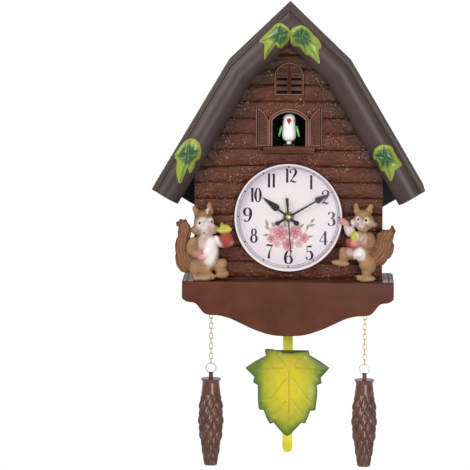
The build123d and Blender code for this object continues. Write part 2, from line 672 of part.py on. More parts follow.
# Bird carriage: thin sledge on the box floor with an upright lug for the plunger
CARRIAGE_HALF_WIDTH = 0.8 * BIRD_RADIUS
CARRIAGE_THICKNESS = 1.6
CARRIAGE_BACK = BIRD_DEPTH - BIRD_TRAVEL
CARRIAGE_TOP_Z = BOX_FLOOR_Z + MOVE_GAP + CARRIAGE_THICKNESS
LUG_TOP_Z = PLUNGER_Z + 2 * PLUNGER_RADIUS
with BuildPart() as bird_carriage:
    with BuildSketch(front(CARRIAGE_BACK)):
        with Locations((0, CARRIAGE_TOP_Z - CARRIAGE_THICKNESS / 2)):
            Rectangle(2 * CARRIAGE_HALF_WIDTH, CARRIAGE_THICKNESS)
    extrude(amount=BIRD_DEPTH + BIRD_RADIUS / 2 - CARRIAGE_BACK)
    with BuildSketch(front(CARRIAGE_BACK)):
        with Locations((0, (CARRIAGE_TOP_Z + LUG_TOP_Z) / 2)):
            Rectangle(2 * CARRIAGE_HALF_WIDTH, LUG_TOP_Z - CARRIAGE_TOP_Z)
    extrude(amount=CARRIAGE_THICKNESS)
export(bird_carriage, "bird_carriage")

# Plunger: steel rod between the lug and the solenoid
with BuildPart() as bird_plunger:
    with BuildSketch(front(SOLENOID_BACK + SOLENOID_CAP + MOVE_GAP, z=PLUNGER_Z)):
        Circle(PLUNGER_RADIUS)
    extrude(amount=CARRIAGE_BACK - SOLENOID_BACK - SOLENOID_CAP - MOVE_GAP)
export(bird_plunger, "bird_plunger")

# Bird: a turned, egg-shaped body with a short post, a round beak and two leaf-shaped wings
BIRD_FOOT_Z = CARRIAGE_TOP_Z
BEAK_Z = BIRD_FOOT_Z + 0.76 * BIRD_HEIGHT
with BuildPart() as bird_body:
    with BuildSketch(Plane(origin=(0, -BIRD_DEPTH, BIRD_FOOT_Z), x_dir=(1, 0, 0), z_dir=(0, -1, 0))):
        with BuildLine():
            Polyline((0, BIRD_HEIGHT), (0, 0), (0.36 * BIRD_RADIUS, 0), (0.36 * BIRD_RADIUS, 0.07 * BIRD_HEIGHT))
            Spline(
                (0.36 * BIRD_RADIUS, 0.07 * BIRD_HEIGHT),
                (0.92 * BIRD_RADIUS, 0.2 * BIRD_HEIGHT),
                (0.96 * BIRD_RADIUS, 0.42 * BIRD_HEIGHT),
                (0.8 * BIRD_RADIUS, 0.68 * BIRD_HEIGHT),
                (0.68 * BIRD_RADIUS, 0.88 * BIRD_HEIGHT),
                (0, BIRD_HEIGHT),
                tangents=[(1, 0.2), (-1, 0)],
            )
        make_face()
    revolve(axis=Axis((0, -BIRD_DEPTH, BIRD_FOOT_Z), (0, 0, 1)))
export(bird_body, "bird_body")

BEAK_RADIUS = 0.3 * BIRD_RADIUS
BEAK_BACK = BIRD_DEPTH + 0.78 * BIRD_RADIUS + SEAT_GAP
with BuildPart() as bird_beak:
    with BuildSketch(front(BEAK_BACK, z=BEAK_Z)):
        Circle(BEAK_RADIUS)
    with BuildSketch(front(BEAK_BACK + 1.6 * BEAK_RADIUS, z=BEAK_Z - BEAK_RADIUS / 2)):
        Circle(0.35 * BEAK_RADIUS)
    loft()
export(bird_beak, "bird_beak")

WING_LENGTH = 0.36 * BIRD_HEIGHT
WING_TILT = 14.0
with BuildPart() as bird_wings:
    for side in (-1, 1):
        wing_plane = Plane(
            origin=(side * (0.93 * BIRD_RADIUS + SEAT_GAP), -BIRD_DEPTH, BIRD_FOOT_Z + 0.58 * BIRD_HEIGHT),
            x_dir=(0, 1, 0),
            z_dir=(side * math.cos(math.radians(WING_TILT)), 0, math.sin(math.radians(WING_TILT))),
        )
        with BuildSketch(wing_plane):
            with BuildLine():
                tip = (0, -side * WING_LENGTH)
                ThreePointArc((0, 0), (WING_LENGTH / 4, -side * WING_LENGTH / 2), tip)
                ThreePointArc(tip, (-WING_LENGTH / 4, -side * WING_LENGTH / 2), (0, 0))
            make_face()
        extrude(amount=0.25 * BIRD_RADIUS)
export(bird_wings, "bird_wings")

# Dial plate: flat disc behind the log front, with a hole for the bush
DIAL_FRONT = WALL_BACK
DIAL_BACK = DIAL_FRONT - DIAL_PLATE
with BuildPart() as dial_plate:
    with BuildSketch(front(DIAL_BACK, z=DIAL_Z)):
        Circle(BEZEL_RADIUS)
        Circle(BUSH_RADIUS + SEAT_GAP, mode=Mode.SUBTRACT)
    extrude(amount=DIAL_PLATE)
export(dial_plate, "dial_plate")

# Bezel ring: turned section with a rounded front edge and a lip that holds the lens
BEZEL_FRONT = WALL_DEPTH + BEZEL_PROUD
BEZEL_BORE = BEZEL_RADIUS - BEZEL_WALL
LIP_THICKNESS = 1.5
dial_axis = Axis((0, 0, DIAL_Z), (0, -1, 0))
dial_section = Plane(origin=(0, 0, DIAL_Z), x_dir=(1, 0, 0), z_dir=(0, 0, 1))
with BuildPart() as bezel_ring:
    with BuildSketch(dial_section):
        with BuildLine():
            Polyline(
                (BEZEL_RADIUS, BEZEL_WALL - BEZEL_FRONT),
                (BEZEL_RADIUS, -BEZEL_SEAT_DEPTH),
                (BEZEL_BORE, -BEZEL_SEAT_DEPTH),
                (BEZEL_BORE, LIP_THICKNESS - BEZEL_FRONT),
                (DIAL_VIEW_RADIUS, LIP_THICKNESS - BEZEL_FRONT),
                (DIAL_VIEW_RADIUS, -BEZEL_FRONT),
                (BEZEL_RADIUS - BEZEL_WALL, -BEZEL_FRONT),
            )
            RadiusArc(
                (BEZEL_RADIUS - BEZEL_WALL, -BEZEL_FRONT), (BEZEL_RADIUS, BEZEL_WALL - BEZEL_FRONT), -BEZEL_WALL
            )
        make_face()
    revolve(axis=dial_axis)
export(bezel_ring, "bezel_ring")

# Dial lens: clear, slightly domed disc behind the bezel's lip
LENS_RADIUS = BEZEL_BORE - SEAT_GAP
LENS_EDGE_FRONT = BEZEL_FRONT - LIP_THICKNESS - SEAT_GAP
LENS_EDGE_BACK = LENS_EDGE_FRONT - LENS_THICKNESS
DOME_RADIUS = DIAL_VIEW_RADIUS - SEAT_GAP
with BuildPart() as dial_lens:
    with BuildSketch(dial_section):
        with BuildLine():
            Line((0, -LENS_EDGE_BACK - LENS_RISE), (0, -LENS_EDGE_FRONT - LENS_RISE))
            TangentArc(
                (0, -LENS_EDGE_FRONT - LENS_RISE), (DOME_RADIUS, -LENS_EDGE_FRONT), tangent=(1, 0)
            )
            Polyline(
                (DOME_RADIUS, -LENS_EDGE_FRONT),
                (LENS_RADIUS, -LENS_EDGE_FRONT),
                (LENS_RADIUS, -LENS_EDGE_BACK),
                (DOME_RADIUS, -LENS_EDGE_BACK),
            )
            TangentArc(
                (0, -LENS_EDGE_BACK - LENS_RISE), (DOME_RADIUS, -LENS_EDGE_BACK), tangent=(1, 0)
            )
        make_face()
    revolve(axis=dial_axis)
export(dial_lens, "dial_lens")

# Movement: sealed quartz case with a threaded bush, an open cell bay and a hole for the setting knob
MOVEMENT_FRONT = DIAL_BACK - WASHER_THICKNESS
MOVEMENT_BACK = MOVEMENT_FRONT - MOVEMENT_DEPTH
BUSH_FRONT = MOVEMENT_FRONT + BUSH_PROUD
BUSH_BORE = HOUR_PIPE_RADIUS + RUN_GAP
ARBOR_BACK = MOVEMENT_FRONT - 4.0
CELL_Z = DIAL_Z - MOVEMENT_SIZE / 2 + AA_RADIUS + 2 * MOVE_GAP + 1.2
CELL_DEPTH = MOVEMENT_BACK + AA_RADIUS
KNOB_X = MOVEMENT_SIZE / 4
KNOB_Z = DIAL_Z + MOVEMENT_SIZE / 4
KNOB_SHAFT = 1.5
with BuildPart() as movement_case:
    with BuildSketch(front(MOVEMENT_BACK, z=DIAL_Z)):
        RectangleRounded(MOVEMENT_SIZE, MOVEMENT_SIZE, MOVEMENT_CORNER)
    extrude(amount=MOVEMENT_DEPTH)
    with BuildSketch(front(MOVEMENT_FRONT, z=DIAL_Z)):
        Circle(BUSH_RADIUS)
    extrude(amount=BUSH_PROUD)
    with BuildSketch(front(ARBOR_BACK - MOVE_GAP, z=DIAL_Z)):
        Circle(BUSH_BORE)
    extrude(amount=MOVEMENT_DEPTH + BUSH_PROUD, mode=Mode.SUBTRACT)
    with BuildSketch(front(MOVEMENT_BACK, z=CELL_Z)):
        Rectangle(AA_LENGTH + 4 * MOVE_GAP, 2 * (AA_RADIUS + MOVE_GAP))
    extrude(amount=2 * AA_RADIUS + SEAT_GAP, mode=Mode.SUBTRACT)
    with BuildSketch(front(MOVEMENT_BACK, x=KNOB_X, z=KNOB_Z)):
        Circle(KNOB_SHAFT + RUN_GAP)
    extrude(amount=KNOB_HEIGHT, mode=Mode.SUBTRACT)
export(movement_case, "movement_case")

with BuildPart() as dial_washer:
    with BuildSketch(front(MOVEMENT_FRONT, z=DIAL_Z)):
        Circle(WASHER_RADIUS)
        Circle(BUSH_RADIUS + SEAT_GAP, mode=Mode.SUBTRACT)
    extrude(amount=WASHER_THICKNESS)
export(dial_washer, "dial_washer")

with BuildPart() as dial_nut:
    with BuildSketch(front(DIAL_FRONT, z=DIAL_Z)):
        RegularPolygon(NUT_FLATS / 2, 6, major_radius=False)
        Circle(BUSH_RADIUS + RUN_GAP, mode=Mode.SUBTRACT)
    extrude(amount=NUT_HEIGHT)
    chamfer(dial_nut.faces().sort_by(Axis.Y)[0].outer_wire().edges(), NUT_HEIGHT / 6)
export(dial_nut, "dial_nut")

# AA cell with its positive button, lying along X
def aa_cell(x, depth, z):
    with BuildPart() as cell:
        with BuildSketch(Plane(origin=(x - AA_LENGTH / 2, -depth, z), x_dir=(0, 1, 0), z_dir=(1, 0, 0))):
            Circle(AA_RADIUS)
        extrude(amount=AA_LENGTH - AA_RADIUS / 4)
        with BuildSketch(Plane(origin=(x + AA_LENGTH / 2, -depth, z), x_dir=(0, 1, 0), z_dir=(1, 0, 0))):
            Circle(AA_RADIUS / 3)
        extrude(amount=-AA_RADIUS / 2)
    return cell.part


with BuildPart() as movement_cell:
    add(aa_cell(0, CELL_DEPTH, CELL_Z))
export(movement_cell, "movement_cell")

# Setting knob: ribbed wheel on the back of the movement, turned to set the hands
with BuildPart() as setting_knob:
    with BuildSketch(front(MOVEMENT_BACK - MOVE_GAP, x=KNOB_X, z=KNOB_Z)):
        Circle(KNOB_RADIUS)
        with PolarLocations(KNOB_RADIUS, KNOB_RIBS):
            Circle(KNOB_RADIUS / KNOB_RIBS, mode=Mode.SUBTRACT)
    extrude(amount=-KNOB_HEIGHT)
    with BuildSketch(front(MOVEMENT_BACK - MOVE_GAP, x=KNOB_X, z=KNOB_Z)):
        Circle(KNOB_SHAFT)
    extrude(amount=KNOB_HEIGHT - MOVE_GAP)
export(setting_knob, "setting_knob")

# Hands: spade hour and minute hands on nested pipes, and a slim second hand with a cap
HOUR_DEPTH = BUSH_FRONT + MOVE_GAP
MINUTE_DEPTH = HOUR_DEPTH + HAND_THICKNESS + HAND_SPACING
SECOND_DEPTH = MINUTE_DEPTH + HAND_THICKNESS + HAND_SPACING
MINUTE_BORE = SECOND_ARBOR_RADIUS + RUN_GAP
HOUR_BORE = MINUTE_PIPE_RADIUS + RUN_GAP


def spade_hand(depth, turn, length, spade_at, spade_radius, tail_at, pipe_radius, bore):
    """Hand with a round spade, a tapering tip and neck, a ball tail and a pipe back into the movement."""
    root_width = 0.4 * spade_radius
    with BuildPart() as hand:
        with BuildSketch(front(depth, z=DIAL_Z, turn=turn)):
            Circle(1.5 * pipe_radius)
            with BuildLine():
                Polyline(
                    (-root_width, -tail_at),
                    (root_width, -tail_at),
                    (root_width / 2, spade_at),
                    (-root_width / 2, spade_at),
                    close=True,
                )
            make_face()
            with Locations((0, -tail_at)):
                Circle(0.7 * spade_radius)
            with BuildLine():
                flank = (spade_radius, spade_at)
                ThreePointArc((-spade_radius, spade_at), (0, spade_at - spade_radius), flank)
                Polyline(flank, (0, length), (-spade_radius, spade_at))
            make_face()
            Circle(bore, mode=Mode.SUBTRACT)
        extrude(amount=HAND_THICKNESS)
        with BuildSketch(front(ARBOR_BACK, z=DIAL_Z)):
            Circle(pipe_radius)
            Circle(bore, mode=Mode.SUBTRACT)
        extrude(amount=depth + HAND_THICKNESS - ARBOR_BACK)
    return hand


hour_hand = spade_hand(
    HOUR_DEPTH, HOUR_ANGLE, HOUR_LENGTH, 0.47 * HOUR_LENGTH, 4.4, 12.4, HOUR_PIPE_RADIUS, HOUR_BORE
)
export(hour_hand, "hour_hand")
minute_hand = spade_hand(
    MINUTE_DEPTH, MINUTE_ANGLE, MINUTE_LENGTH, 0.75 * MINUTE_LENGTH, 4.0, 15.3, MINUTE_PIPE_RADIUS, MINUTE_BORE
)
export(minute_hand, "minute_hand")

with BuildPart() as second_hand:
    with BuildSketch(front(SECOND_DEPTH, z=DIAL_Z, turn=SECOND_ANGLE)):
        with BuildLine():
            Polyline((-0.6, 0), (0.6, 0), (0.35, SECOND_LENGTH), (-0.35, SECOND_LENGTH), close=True)
        make_face()
        with BuildLine():
            Polyline((-0.8, 0), (0.8, 0), (1.7, -SECOND_TAIL), (-1.7, -SECOND_TAIL), close=True)
        make_face()
        Circle(SECOND_CAP_RADIUS)
    extrude(amount=HAND_THICKNESS / 2)
    with BuildSketch(front(SECOND_DEPTH + HAND_THICKNESS / 2, z=DIAL_Z)):
        Circle(SECOND_CAP_RADIUS)
    extrude(amount=HAND_THICKNESS, taper=30)
    with BuildSketch(front(ARBOR_BACK, z=DIAL_Z)):
        Circle(SECOND_ARBOR_RADIUS)
    extrude(amount=SECOND_DEPTH - ARBOR_BACK)
export(second_hand, "second_hand")

# Pendulum drive: coil box under the movement, with the pin that the rod hangs on
DRIVE_TOP_Z = DIAL_Z - MOVEMENT_SIZE / 2 - SEAT_GAP
DRIVE_BACK = PENDULUM_DEPTH + ROD_THICKNESS + 4.0
with BuildPart() as pendulum_drive:
    with BuildSketch(front(DRIVE_BACK)):
        with Locations((0, DRIVE_TOP_Z - DRIVE_HEIGHT / 2)):
            RectangleRounded(DRIVE_WIDTH, DRIVE_HEIGHT, MOVEMENT_CORNER)
    extrude(amount=MOVEMENT_FRONT - DRIVE_BACK)
    with BuildSketch(front(PENDULUM_DEPTH - ROD_THICKNESS, z=PIVOT_Z)):
        Circle(PIVOT_RADIUS)
    extrude(amount=DRIVE_BACK - PENDULUM_DEPTH + ROD_THICKNESS)
    with BuildSketch(front(PENDULUM_DEPTH + ROD_THICKNESS + MOVE_GAP, z=PIVOT_Z)):
        Circle(2.4 * PIVOT_RADIUS)
    extrude(amount=DRIVE_BACK - PENDULUM_DEPTH - ROD_THICKNESS - MOVE_GAP)
export(pendulum_drive, "pendulum_drive")

# Pendulum rod: flat strip with a round eye on top and a round end below the leaf
with BuildPart() as pendulum_rod:
    with BuildSketch(front(PENDULUM_DEPTH)):
        with Locations((0, (PIVOT_Z + ROD_END_Z + ROD_WIDTH / 2) / 2)):
            Rectangle(ROD_WIDTH, PIVOT_Z - ROD_END_Z - ROD_WIDTH / 2)
        with Locations((0, PIVOT_Z), (0, ROD_END_Z + ROD_WIDTH / 2)):
            Circle(ROD_WIDTH / 2)
        with Locations((0, PIVOT_Z)):
            Circle(PIVOT_RADIUS + RUN_GAP, mode=Mode.SUBTRACT)
    extrude(amount=ROD_THICKNESS)
export(pendulum_rod, "pendulum_rod")

with BuildPart() as drive_magnet:
    with BuildSketch(front(PENDULUM_DEPTH + ROD_THICKNESS, z=DRIVE_TOP_Z - 0.8 * DRIVE_HEIGHT)):
        Circle(0.4 * ROD_WIDTH)
    extrude(amount=DRIVE_BACK - PENDULUM_DEPTH - ROD_THICKNESS - 2 * MOVE_GAP)
export(drive_magnet, "drive_magnet")

# Leaf bob: lobed leaf plate on the front of the rod, with a raised midrib
LEAF_HALF = (
    (0.14, 0.03), (0.505, 0.0), (0.505, 0.06), (1.0, 0.213), (0.783, 0.33), (0.822, 0.388), (0.70, 0.414),
    (0.70, 0.562), (0.665, 0.713), (0.552, 0.717), (0.43, 0.874), (0.354, 0.87), (0.11, 1.0),
)
leaf_right = [(LEAF_HALF_WIDTH * x, LEAF_TOP_Z - LEAF_HEIGHT * drop) for x, drop in LEAF_HALF]
leaf_left = [(-x, z) for x, z in reversed(leaf_right)]
with BuildPart() as leaf_bob:
    with BuildSketch(front(PENDULUM_DEPTH + ROD_THICKNESS)):
        Polygon(*leaf_right, *leaf_left, align=None)
    extrude(amount=LEAF_THICKNESS)
    chamfer(leaf_bob.faces().sort_by(Axis.Y)[0].edges(), LEAF_THICKNESS / 3)
export(leaf_bob, "leaf_bob")

# Chain hooks: a screw shank with a round eye, one under each end of the shelf
CHAIN_SIDES = ((-CHAIN_HALF_SPACING, "left"), (CHAIN_HALF_SPACING, "right"))
EYE_BOTTOM_Z = HOOK_Z - HOOK_EYE_RADIUS
with BuildPart() as chain_hooks:
    for chain_x, _ in CHAIN_SIDES:
        with BuildSketch(Plane.XY.offset(HOOK_Z)):
            with Locations((chain_x + HOOK_EYE_RADIUS, -CHAIN_DEPTH)):
                Circle(LINK_WIRE / 2)
        revolve(axis=Axis((chain_x, -CHAIN_DEPTH, HOOK_Z), (0, 1, 0)))
        with BuildSketch(Plane.XY.offset(HOOK_Z + HOOK_EYE_RADIUS)):
            with Locations((chain_x, -CHAIN_DEPTH)):
                Circle(LINK_WIRE / 2)
        extrude(amount=HOOK_BOSS_END_Z + HOOK_SCREW_LENGTH - HOOK_Z - HOOK_EYE_RADIUS)
export(chain_hooks, "chain_hooks")

# Chain link: round wire bent into a long loop, in the XZ plane about its own centre
LINK_SLACK = 0.3
LINK_HALF_WIDTH = (LINK_WIDTH - LINK_WIRE) / 2
LINK_HALF_LENGTH = (CHAIN_PITCH + LINK_WIRE + LINK_SLACK) / 2
LINK_HALF_STRAIGHT = LINK_HALF_LENGTH - LINK_HALF_WIDTH
with BuildPart() as chain_link:
    for way in (-1, 1):
        with BuildSketch(Plane.XY.offset(way * LINK_HALF_STRAIGHT)):
            with Locations((LINK_HALF_WIDTH, 0)):
                RegularPolygon(LINK_WIRE / 2, WIRE_FACETS)
        revolve(axis=Axis((0, 0, way * LINK_HALF_STRAIGHT), (0, -way, 0)), revolution_arc=180)
    with BuildSketch(Plane.XY.offset(-LINK_HALF_STRAIGHT)):
        with Locations((LINK_HALF_WIDTH, 0)):
            RegularPolygon(LINK_WIRE / 2, WIRE_FACETS)
        with Locations((-LINK_HALF_WIDTH, 0)):
            RegularPolygon(LINK_WIRE / 2, WIRE_FACETS, rotation=180)
    extrude(amount=2 * LINK_HALF_STRAIGHT)

# Chains: links hung in one another, each turned a quarter from the last
FIRST_LINK_Z = EYE_BOTTOM_Z + LINK_WIRE + LINK_SLACK - LINK_HALF_LENGTH
LAST_LINK_Z = FIRST_LINK_Z - (CHAIN_LINKS - 1) * CHAIN_PITCH
RING_Z = LAST_LINK_Z - LINK_HALF_LENGTH + (LINK_WIRE + RING_WIRE) / 2 + LINK_SLACK - RING_RADIUS
RING_BOTTOM_Z = RING_Z - RING_RADIUS
for chain_x, side in CHAIN_SIDES:
    links = [
        chain_link.part.solid().moved(
            Location((chain_x, -CHAIN_DEPTH, FIRST_LINK_Z - step * CHAIN_PITCH), (0, 0, 90 * ((step + 1) % 2)))
        )
        for step in range(CHAIN_LINKS)
    ]
    chain = Compound(label=f"{side}_chain", children=links)
    export_step(chain, f"parts/{side}_chain.step")
    with BuildPart() as ring:
        with BuildSketch(Plane.XY.offset(RING_Z)):
            with Locations((chain_x + RING_RADIUS, -CHAIN_DEPTH)):
                RegularPolygon(RING_WIRE / 2, WIRE_FACETS)
        revolve(axis=Axis((chain_x, -CHAIN_DEPTH, RING_Z), (0, 1, 0)))
    export(ring, f"{side}_ring")

# Pine cones: eye, dished flange and smooth neck over rows of pointed scales, each row turned half a scale
CONE_EYE_HALF_WIDTH = 2.6
ring_sag = RING_RADIUS - math.sqrt(RING_RADIUS**2 - CONE_EYE_HALF_WIDTH**2)
EYE_HOLE_Z = RING_BOTTOM_Z + ring_sag + RING_WIRE / 2 + LINK_SLACK - CONE_EYE_RADIUS
CONE_FLANGE_Z = EYE_HOLE_Z - CONE_EYE_RADIUS - 4.5
CONE_NECK_DROP = 6.0
CONE_SCALE_TOP_Z = CONE_FLANGE_Z - 3 * CONE_NECK_DROP
CONE_BOTTOM_Z = CONE_FLANGE_Z - CONE_LENGTH
CONE_WAIST = 0.72


def cone_radius(z):
    """Radius of the pine cone at a height: a slow swell that tapers to the tip."""
    share = (CONE_FLANGE_Z - z) / CONE_LENGTH
    return CONE_RADIUS * (CONE_WAIST + (1 - CONE_WAIST) * math.sin(math.pi * share / 0.82))


def scale_outline(radius):
    """Star outline of one row of scales; the tips stand on the given radius."""
    points = []
    for corner in range(2 * CONE_SCALES):
        angle = math.pi * corner / CONE_SCALES
        reach = radius if corner % 2 == 0 else 0.86 * radius
        points.append((reach * math.cos(angle), reach * math.sin(angle)))
    return points


row_height = (CONE_SCALE_TOP_Z - CONE_BOTTOM_Z) / CONE_ROWS
for chain_x, side in CHAIN_SIDES:
    with BuildPart() as cone:
        for row in range(CONE_ROWS):
            row_bottom = CONE_SCALE_TOP_Z - (row + 1) * row_height
            row_top = row_bottom + 1.15 * row_height
            row_turn = 90 / CONE_SCALES * 2 * (row % 2)
            row_plane = Plane((chain_x, -CHAIN_DEPTH, row_bottom)).rotated((0, 0, row_turn))
            with BuildSketch(row_plane):
                Polygon(*scale_outline(cone_radius(row_bottom)), align=None)
            with BuildSketch(row_plane.offset(row_top - row_bottom)):
                Polygon(*scale_outline(0.88 * cone_radius(row_top)), align=None)
            loft(ruled=True)
        with BuildSketch(Plane(origin=(chain_x, -CHAIN_DEPTH, 0), x_dir=(1, 0, 0), z_dir=(0, -1, 0))):
            Polygon(
                (0, CONE_FLANGE_Z - 1.0),
                (0.8 * CONE_FLANGE_RADIUS, CONE_FLANGE_Z),
                (CONE_FLANGE_RADIUS, CONE_FLANGE_Z),
                (cone_radius(CONE_FLANGE_Z - CONE_NECK_DROP) * 0.9, CONE_FLANGE_Z - 0.7 * CONE_NECK_DROP),
                (cone_radius(CONE_SCALE_TOP_Z) * 0.96, CONE_SCALE_TOP_Z - row_height / 2),
                (0, CONE_SCALE_TOP_Z - row_height / 2),
                align=None,
            )
        revolve(axis=Axis((chain_x, -CHAIN_DEPTH, 0), (0, 0, 1)))
        with BuildSketch(Plane(origin=(chain_x - CONE_EYE_HALF_WIDTH, -CHAIN_DEPTH, 0), x_dir=(0, 1, 0), z_dir=(1, 0, 0))):
            with Locations((0, (EYE_HOLE_Z + CONE_FLANGE_Z) / 2 - 1.0)):
                Rectangle(4 * CONE_EYE_RADIUS, EYE_HOLE_Z - CONE_FLANGE_Z + 2.0)
            with Locations((0, EYE_HOLE_Z)):
                Circle(2 * CONE_EYE_RADIUS)
                Circle(CONE_EYE_RADIUS, mode=Mode.SUBTRACT)
        extrude(amount=2 * CONE_EYE_HALF_WIDTH)
    export(cone, f"{side}_cone")

# Battery box behind the back board, with three cells and their contacts
BOX_INNER_FRONT = REAR_THICKNESS + 2 * AA_RADIUS + 2 * MOVE_GAP
with BuildPart() as battery_box:
    with BuildSketch(front(REAR_THICKNESS, x=BAY_X, z=BAY_Z)):
        Rectangle(BAY_INNER_WIDTH + 2 * BAY_WALL, BAY_INNER_HEIGHT + 2 * BAY_WALL)
    extrude(amount=BOX_INNER_FRONT + BAY_WALL - REAR_THICKNESS)
    with BuildSketch(front(REAR_THICKNESS, x=BAY_X, z=BAY_Z)):
        Rectangle(BAY_INNER_WIDTH, BAY_INNER_HEIGHT)
    extrude(amount=BOX_INNER_FRONT - REAR_THICKNESS, mode=Mode.SUBTRACT)
export(battery_box, "battery_box")

CELL_DEPTH_IN_BAY = REAR_THICKNESS + AA_RADIUS + MOVE_GAP
cell_rows = [BAY_Z + (row - (CELL_COUNT - 1) / 2) * CELL_PITCH for row in range(CELL_COUNT)]
bay_cells = [aa_cell(BAY_X, CELL_DEPTH_IN_BAY, cell_z) for cell_z in cell_rows]
with BuildPart() as battery_cells:
    for cell in bay_cells:
        add(cell)
export(battery_cells, "battery_cells")

with BuildPart() as battery_contacts:
    for cell_z in cell_rows:
        for way in (-1, 1):
            wall_x = BAY_X + way * BAY_INNER_WIDTH / 2
            contact_plane = Plane(
                origin=(wall_x - way * SEAT_GAP, -CELL_DEPTH_IN_BAY, cell_z), x_dir=(0, 1, 0), z_dir=(-way, 0, 0)
            )
            with BuildSketch(contact_plane):
                Rectangle(1.6 * AA_RADIUS, 1.6 * AA_RADIUS)
            extrude(amount=CONTACT_PLATE)
            with BuildSketch(contact_plane.offset(CONTACT_PLATE)):
                Circle(AA_RADIUS / 2)
            extrude(amount=CONTACT_RISE, taper=20)
export(battery_contacts, "battery_contacts")

# Battery door: snaps into its opening in the back board and pulls straight off
with BuildPart() as battery_door:
    with BuildSketch(front(SEAT_GAP, x=BAY_X, z=BAY_Z)):
        Rectangle(DOOR_WIDTH, DOOR_HEIGHT)
        with Locations((0, DOOR_HEIGHT / 2 - 2 * GRILLE_SLOT_WIDTH)):
            SlotOverall(4 * GRILLE_SLOT_WIDTH, GRILLE_SLOT_WIDTH, mode=Mode.SUBTRACT)
    extrude(amount=REAR_THICKNESS - SEAT_GAP - MOVE_GAP)
export(battery_door, "battery_door")

# Speaker: rim on the back board behind the grille, basket and magnet
with BuildPart() as speaker:
    with BuildSketch(Plane(origin=(SPEAKER_X, 0, SPEAKER_Z), x_dir=(1, 0, 0), z_dir=(0, 0, 1))):
        with BuildLine():
            Polyline(
                (0, -REAR_THICKNESS - 0.4 * SPEAKER_DEPTH),
                (0.3 * SPEAKER_RADIUS, -REAR_THICKNESS - 0.4 * SPEAKER_DEPTH),
                (0.86 * SPEAKER_RADIUS, -REAR_THICKNESS - 0.1 * SPEAKER_DEPTH),
                (0.86 * SPEAKER_RADIUS, -REAR_THICKNESS),
                (SPEAKER_RADIUS, -REAR_THICKNESS),
                (SPEAKER_RADIUS, -REAR_THICKNESS - 0.16 * SPEAKER_DEPTH),
                (0.5 * SPEAKER_RADIUS, -REAR_THICKNESS - 0.6 * SPEAKER_DEPTH),
                (0.5 * SPEAKER_RADIUS, -REAR_THICKNESS - SPEAKER_DEPTH),
                (0, -REAR_THICKNESS - SPEAKER_DEPTH),
                close=True,
            )
        make_face()
    revolve(axis=Axis((SPEAKER_X, 0, SPEAKER_Z), (0, 1, 0)))
export(speaker, "speaker")

# Sound board: circuit board on the standoffs with its chip, capacitors and plug
BOARD_BACK = REAR_THICKNESS + BOARD_STANDOFF
with BuildPart() as sound_board:
    with BuildSketch(front(BOARD_BACK, x=BOARD_X, z=BOARD_Z)):
        Rectangle(BOARD_WIDTH, BOARD_HEIGHT)
    extrude(amount=BOARD_THICKNESS)
    with BuildSketch(front(BOARD_BACK + BOARD_THICKNESS, x=BOARD_X, z=BOARD_Z)):
        Rectangle(BOARD_WIDTH / 4, BOARD_HEIGHT / 3)
        with Locations((BOARD_WIDTH / 3, BOARD_HEIGHT / 4)):
            Rectangle(BOARD_WIDTH / 8, BOARD_HEIGHT / 4)
    extrude(amount=BOARD_STANDOFF)
    with BuildSketch(front(BOARD_BACK + BOARD_THICKNESS, x=BOARD_X, z=BOARD_Z)):
        with Locations((-BOARD_WIDTH / 3, BOARD_HEIGHT / 4), (-BOARD_WIDTH / 3, -BOARD_HEIGHT / 8)):
            Circle(BOARD_STANDOFF)
    extrude(amount=2 * BOARD_STANDOFF)
export(sound_board, "sound_board")

# Sound switch: housing with two legs on the back board, and the sliding key between them
SWITCH_FLANGE = 1.2
SWITCH_FLANGE_WIDTH = SWITCH_KEY + 4 * SWITCH_TRAVEL
SWITCH_INSIDE = SWITCH_FLANGE_WIDTH / 2 + SWITCH_TRAVEL + MOVE_GAP
SWITCH_FLOOR = REAR_THICKNESS + SWITCH_FLANGE + 2 * MOVE_GAP
with BuildPart() as switch_housing:
    with BuildSketch(Plane.XY.offset(SWITCH_Z - SWITCH_KEY)):
        with Locations((SWITCH_X, -(REAR_THICKNESS + SWITCH_FLOOR + SWITCH_KEY) / 2)):
            Rectangle(2 * (SWITCH_INSIDE + BAY_WALL), SWITCH_FLOOR + SWITCH_KEY - REAR_THICKNESS)
        with Locations((SWITCH_X, -(REAR_THICKNESS + SWITCH_FLOOR) / 2)):
            Rectangle(2 * SWITCH_INSIDE, SWITCH_FLOOR - REAR_THICKNESS, mode=Mode.SUBTRACT)
    extrude(amount=2 * SWITCH_KEY)
export(switch_housing, "switch_housing")

with BuildPart() as sound_switch:
    with BuildSketch(front(REAR_THICKNESS + MOVE_GAP, x=SWITCH_X, z=SWITCH_Z)):
        Rectangle(SWITCH_FLANGE_WIDTH, 1.6 * SWITCH_KEY)
    extrude(amount=SWITCH_FLANGE)
    with BuildSketch(front(MOVE_GAP, x=SWITCH_X, z=SWITCH_Z)):
        Rectangle(SWITCH_KEY, SWITCH_KEY)
    extrude(amount=REAR_THICKNESS)
export(sound_switch, "sound_switch")

# Roof leaves: glossy ivy leaves on the crest of the barge band, a pair at the peak and one on each slope
SLOPE_LEAF = (
    (0.22, 0.10), (0.2, 0.33), (0.0, 0.42), (0.03, 0.51), (0.31, 0.58), (0.24, 0.79), (0.45, 1.0), (0.72, 0.70),
    (0.80, 0.58), (1.0, 0.40), (1.0, 0.22),
)
PEAK_LEAF = (
    (0.33, 0.11), (0.2, 0.30), (0.05, 0.38), (0.0, 0.5), (0.22, 0.6), (0.15, 0.72), (0.17, 1.0), (0.55, 0.75),
    (0.80, 0.68), (0.95, 0.55), (1.0, 0.28),
)
LEAF_CROWN = (0.65, 0.0)
slope_leaf_middle = roof_line(BARGE_WIDTH / 2)[0] + LOWER_WAY * SLOPE_LEAF_REACH


